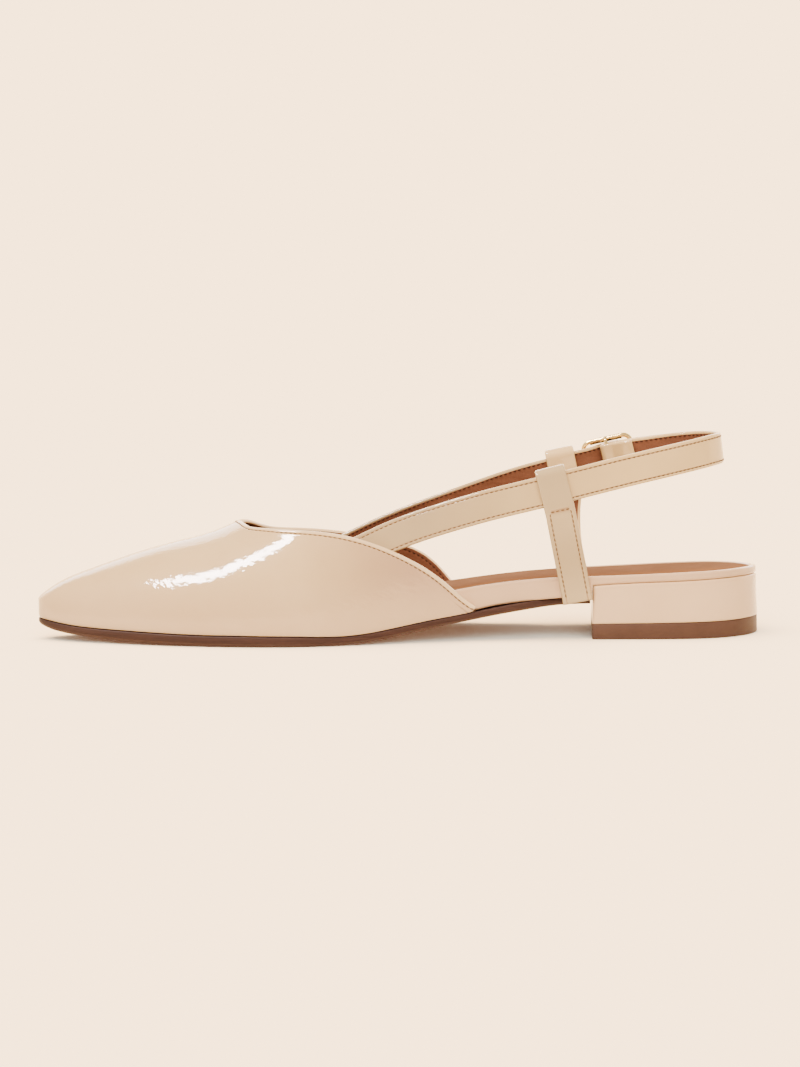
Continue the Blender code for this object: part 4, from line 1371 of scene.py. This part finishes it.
def make_buckle():
    radius = WIRE / 2
    long = BUCKLE_LENGTH / 2 - radius
    high = BUCKLE_HEIGHT / 2 - radius
    points = []
    for sign_a, sign_u, start in ((1, 1, 0), (-1, 1, 90), (-1, -1, 180), (1, -1, 270)):
        for step in range(13):
            turn = math.radians(start + 90 * step / 12)
            a = sign_a * (long - BUCKLE_CORNER) + BUCKLE_CORNER * math.cos(turn)
            u = sign_u * (high - BUCKLE_CORNER) + BUCKLE_CORNER * math.sin(turn)
            u -= TOP_BAR_DROP * min(1, max(0, u / high))
            points.append(at_buckle(a, 0, u))
    wire("buckle_frame_wire", points, radius * 1.12, True, ("buckle_frame",))
    straight = long - BUCKLE_CORNER
    # A thin dark wire under the top bar stands in for the shade there: painted shade.
    under = [at_buckle(a, -0.25, high - TOP_BAR_DROP - 0.78) for a in (-straight, 0, straight)]
    wire("buckle_frame_painted_shade_line", under, 0.42, False, material=GOLD_PAINTED_SHADE)
    inner = high - 0.3
    rows = ((-0.2, -high), (-BAR_RECESS, -inner + 1.2), (-BAR_RECESS, inner - 1.2), (-0.2, high))
    path = [at_buckle(0, *row) for row in rows]
    wire("buckle_centre_bar", path, radius * 0.9, False)
    ring = WIRE / 2 + GAP + PRONG_WIRE / 2
    rows = []
    for index in range(17):
        turn = math.radians(-150 + 240 * index / 16)
        rows.append((ring * math.cos(turn), -BAR_RECESS + ring * math.sin(turn)))
    rows += [(-3.2, 1.15), (-6.2, ring - 0.05), (-END_BAR - 1.0, ring + 0.05)]
    places = [tuple(at_buckle(*row, -STRAP_BELOW_CENTRE)) for row in rows]
    path = [Vector(row) for row in smooth_path(places, 0.5)]
    count = len(path)
    thin = [1 - 0.3 * max(0, (index / count - 0.5) * 2) for index in range(count)]
    wire("buckle_prong_wire", path, PRONG_WIRE / 2, False, ("buckle_prong",), thin)


# Floor, light, camera

def aim(thing, place, target):
    """Stand a light or a camera at a place in metres, facing a target."""
    thing.location = place
    thing.rotation_euler = (Vector(target) - Vector(place)).to_track_quat("-Z", "Y").to_euler()


def add_light(name, place, target, size, power, colour):
    """A rectangular panel at a place, facing a target."""
    data = bpy.data.lights.new(name, "AREA")
    data.shape = "RECTANGLE"
    data.size, data.size_y = size
    data.energy = power
    data.color = colour
    made = add_object(name, data)
    aim(made, place, target)
    return made


def make_floor():
    """A pale sheet that runs back and turns up into a lit backdrop."""
    mesh = bmesh.new()
    profile = [(-FLOOR_REACH, 0.0), (0.0, 0.0), (FLOOR_TURN, 0.0)]
    for index in range(1, 13):
        turn = math.radians(90 * index / 12)
        y = FLOOR_TURN + TURN_RADIUS * math.sin(turn)
        profile.append((y, TURN_RADIUS * (1 - math.cos(turn))))
    profile.append((FLOOR_TURN + TURN_RADIUS, 3.5))
    rows = [[mesh.verts.new((x, y, z)) for y, z in profile] for x in (-FLOOR_REACH, FLOOR_REACH)]
    for index in range(len(profile) - 1):
        mesh.faces.new((rows[0][index], rows[1][index], rows[1][index + 1], rows[0][index + 1]))
    values = {"Emission Strength": BACKDROP[0], "Roughness": 0.9, "Specular IOR Level": 0.0}
    material, tree, shader, place = new_material("pale_floor", values)
    back = way_along(tree, place, "Y", 0.3, 1.8)
    black = (0, 0, 0, 1)
    glow = tuple(channel / BACKDROP[0] for channel in BACKDROP) + (1,)
    tree.links.new(ramp(tree, back, ((0, FLOOR_COLOUR), (1, black))), shader.inputs["Base Color"])
    tree.links.new(ramp(tree, back, ((0, black), (1, glow))), shader.inputs["Emission Color"])
    made = mesh_object("floor", mesh, [material])
    made.visible_diffuse = False
    return made


def add_sun(name, heading, strength, angle, colour, lit):
    """A soft, distant light from a heading, falling on one collection."""
    data = bpy.data.lights.new(name, "SUN")
    data.energy = strength
    data.angle = math.radians(angle)
    data.color = colour
    made = add_object(name, data)
    aim(made, heading, (0, 0, 0))
    made.light_linking.receiver_collection = lit
    made.visible_glossy = False
    return made


def make_lights(floor):
    surround = bpy.data.worlds.new("studio")
    surround.use_nodes = True
    background = surround.node_tree.nodes["Background"]
    background.inputs["Color"].default_value = (1.0, 0.82, 0.60, 1)
    background.inputs["Strength"].default_value = 1.4
    bpy.context.scene.world = surround
    sheet = bpy.data.collections.new("floor_light")
    sheet.objects.link(floor)
    add_sun("floor_sun", (-0.15, 0.04, 1.0), 14.04, 66, (1.0, 0.567, 0.225), sheet)
    add_sun("floor_fill", (0.1, -1.0, 0.5), 5.0, 50, (1.0, 0.97, 0.80), sheet)
    shoe = bpy.data.collections.new("shoe_light")
    for piece in PIECES:
        shoe.objects.link(piece)
    add_sun("shoe_sun", (-0.15, -0.9, 1.25), 7.6, 50, (1.0, 0.89, 0.77), shoe)
    bounce = add_sun("floor_bounce", (0.05, -0.35, -1.0), 2.6, 80, (1.0, 0.82, 0.62), shoe)
    bounce.light_linking.blocker_collection = shoe
    strip = add_light(
        "strip", (-0.90, -0.65, 1.42), (-0.06, -0.03, 0.03), (0.60, 0.34), 115, (1, 0.88, 0.86),
    )
    strip.rotation_euler.rotate_axis("Z", math.radians(STRIP_TURN))
    rear = add_light("rear_panel", (0, 1.3, 0.8), (0, 0, 0.04), (3.0, 0.8), 34, (0.72, 0.82, 1.0))
    for panel in (strip, rear):
        panel.visible_diffuse = False
        panel.light_linking.receiver_collection = shoe


def make_camera():
    """The photograph's view: from the medial side, just above the floor."""
    azimuth, elevation, roll = math.radians(3.0), math.radians(5.1), math.radians(1.0)
    target = Vector((2.05, 0, 37.6)) * MM
    back = Vector((
        math.sin(azimuth) * math.cos(elevation),
        -math.cos(azimuth) * math.cos(elevation),
        math.sin(elevation),
    ))
    data = bpy.data.cameras.new("camera")
    data.sensor_fit = "VERTICAL"
    data.sensor_height = 36
    data.lens = 108.46
    data.clip_start = 0.01
    made = add_object("camera", data)
    facing = back.to_track_quat("Z", "Y").to_matrix().to_4x4()
    stand = Matrix.Translation(target + back * 1.2)
    made.matrix_world = stand @ facing @ Matrix.Rotation(-roll, 4, "Z")
    bpy.context.scene.camera = made


def main():
    make_camera()
    make_outsole()
    make_heel()
    make_footbed()
    make_sock()
    make_vamp()
    sling, front = make_straps()
    make_upright(-1, crossing_at(sling, LOOP_AT_X[-1]))
    make_upright(1, crossing_at(front, LOOP_AT_X[1]))
    make_buckle()
    make_lights(make_floor())


main()
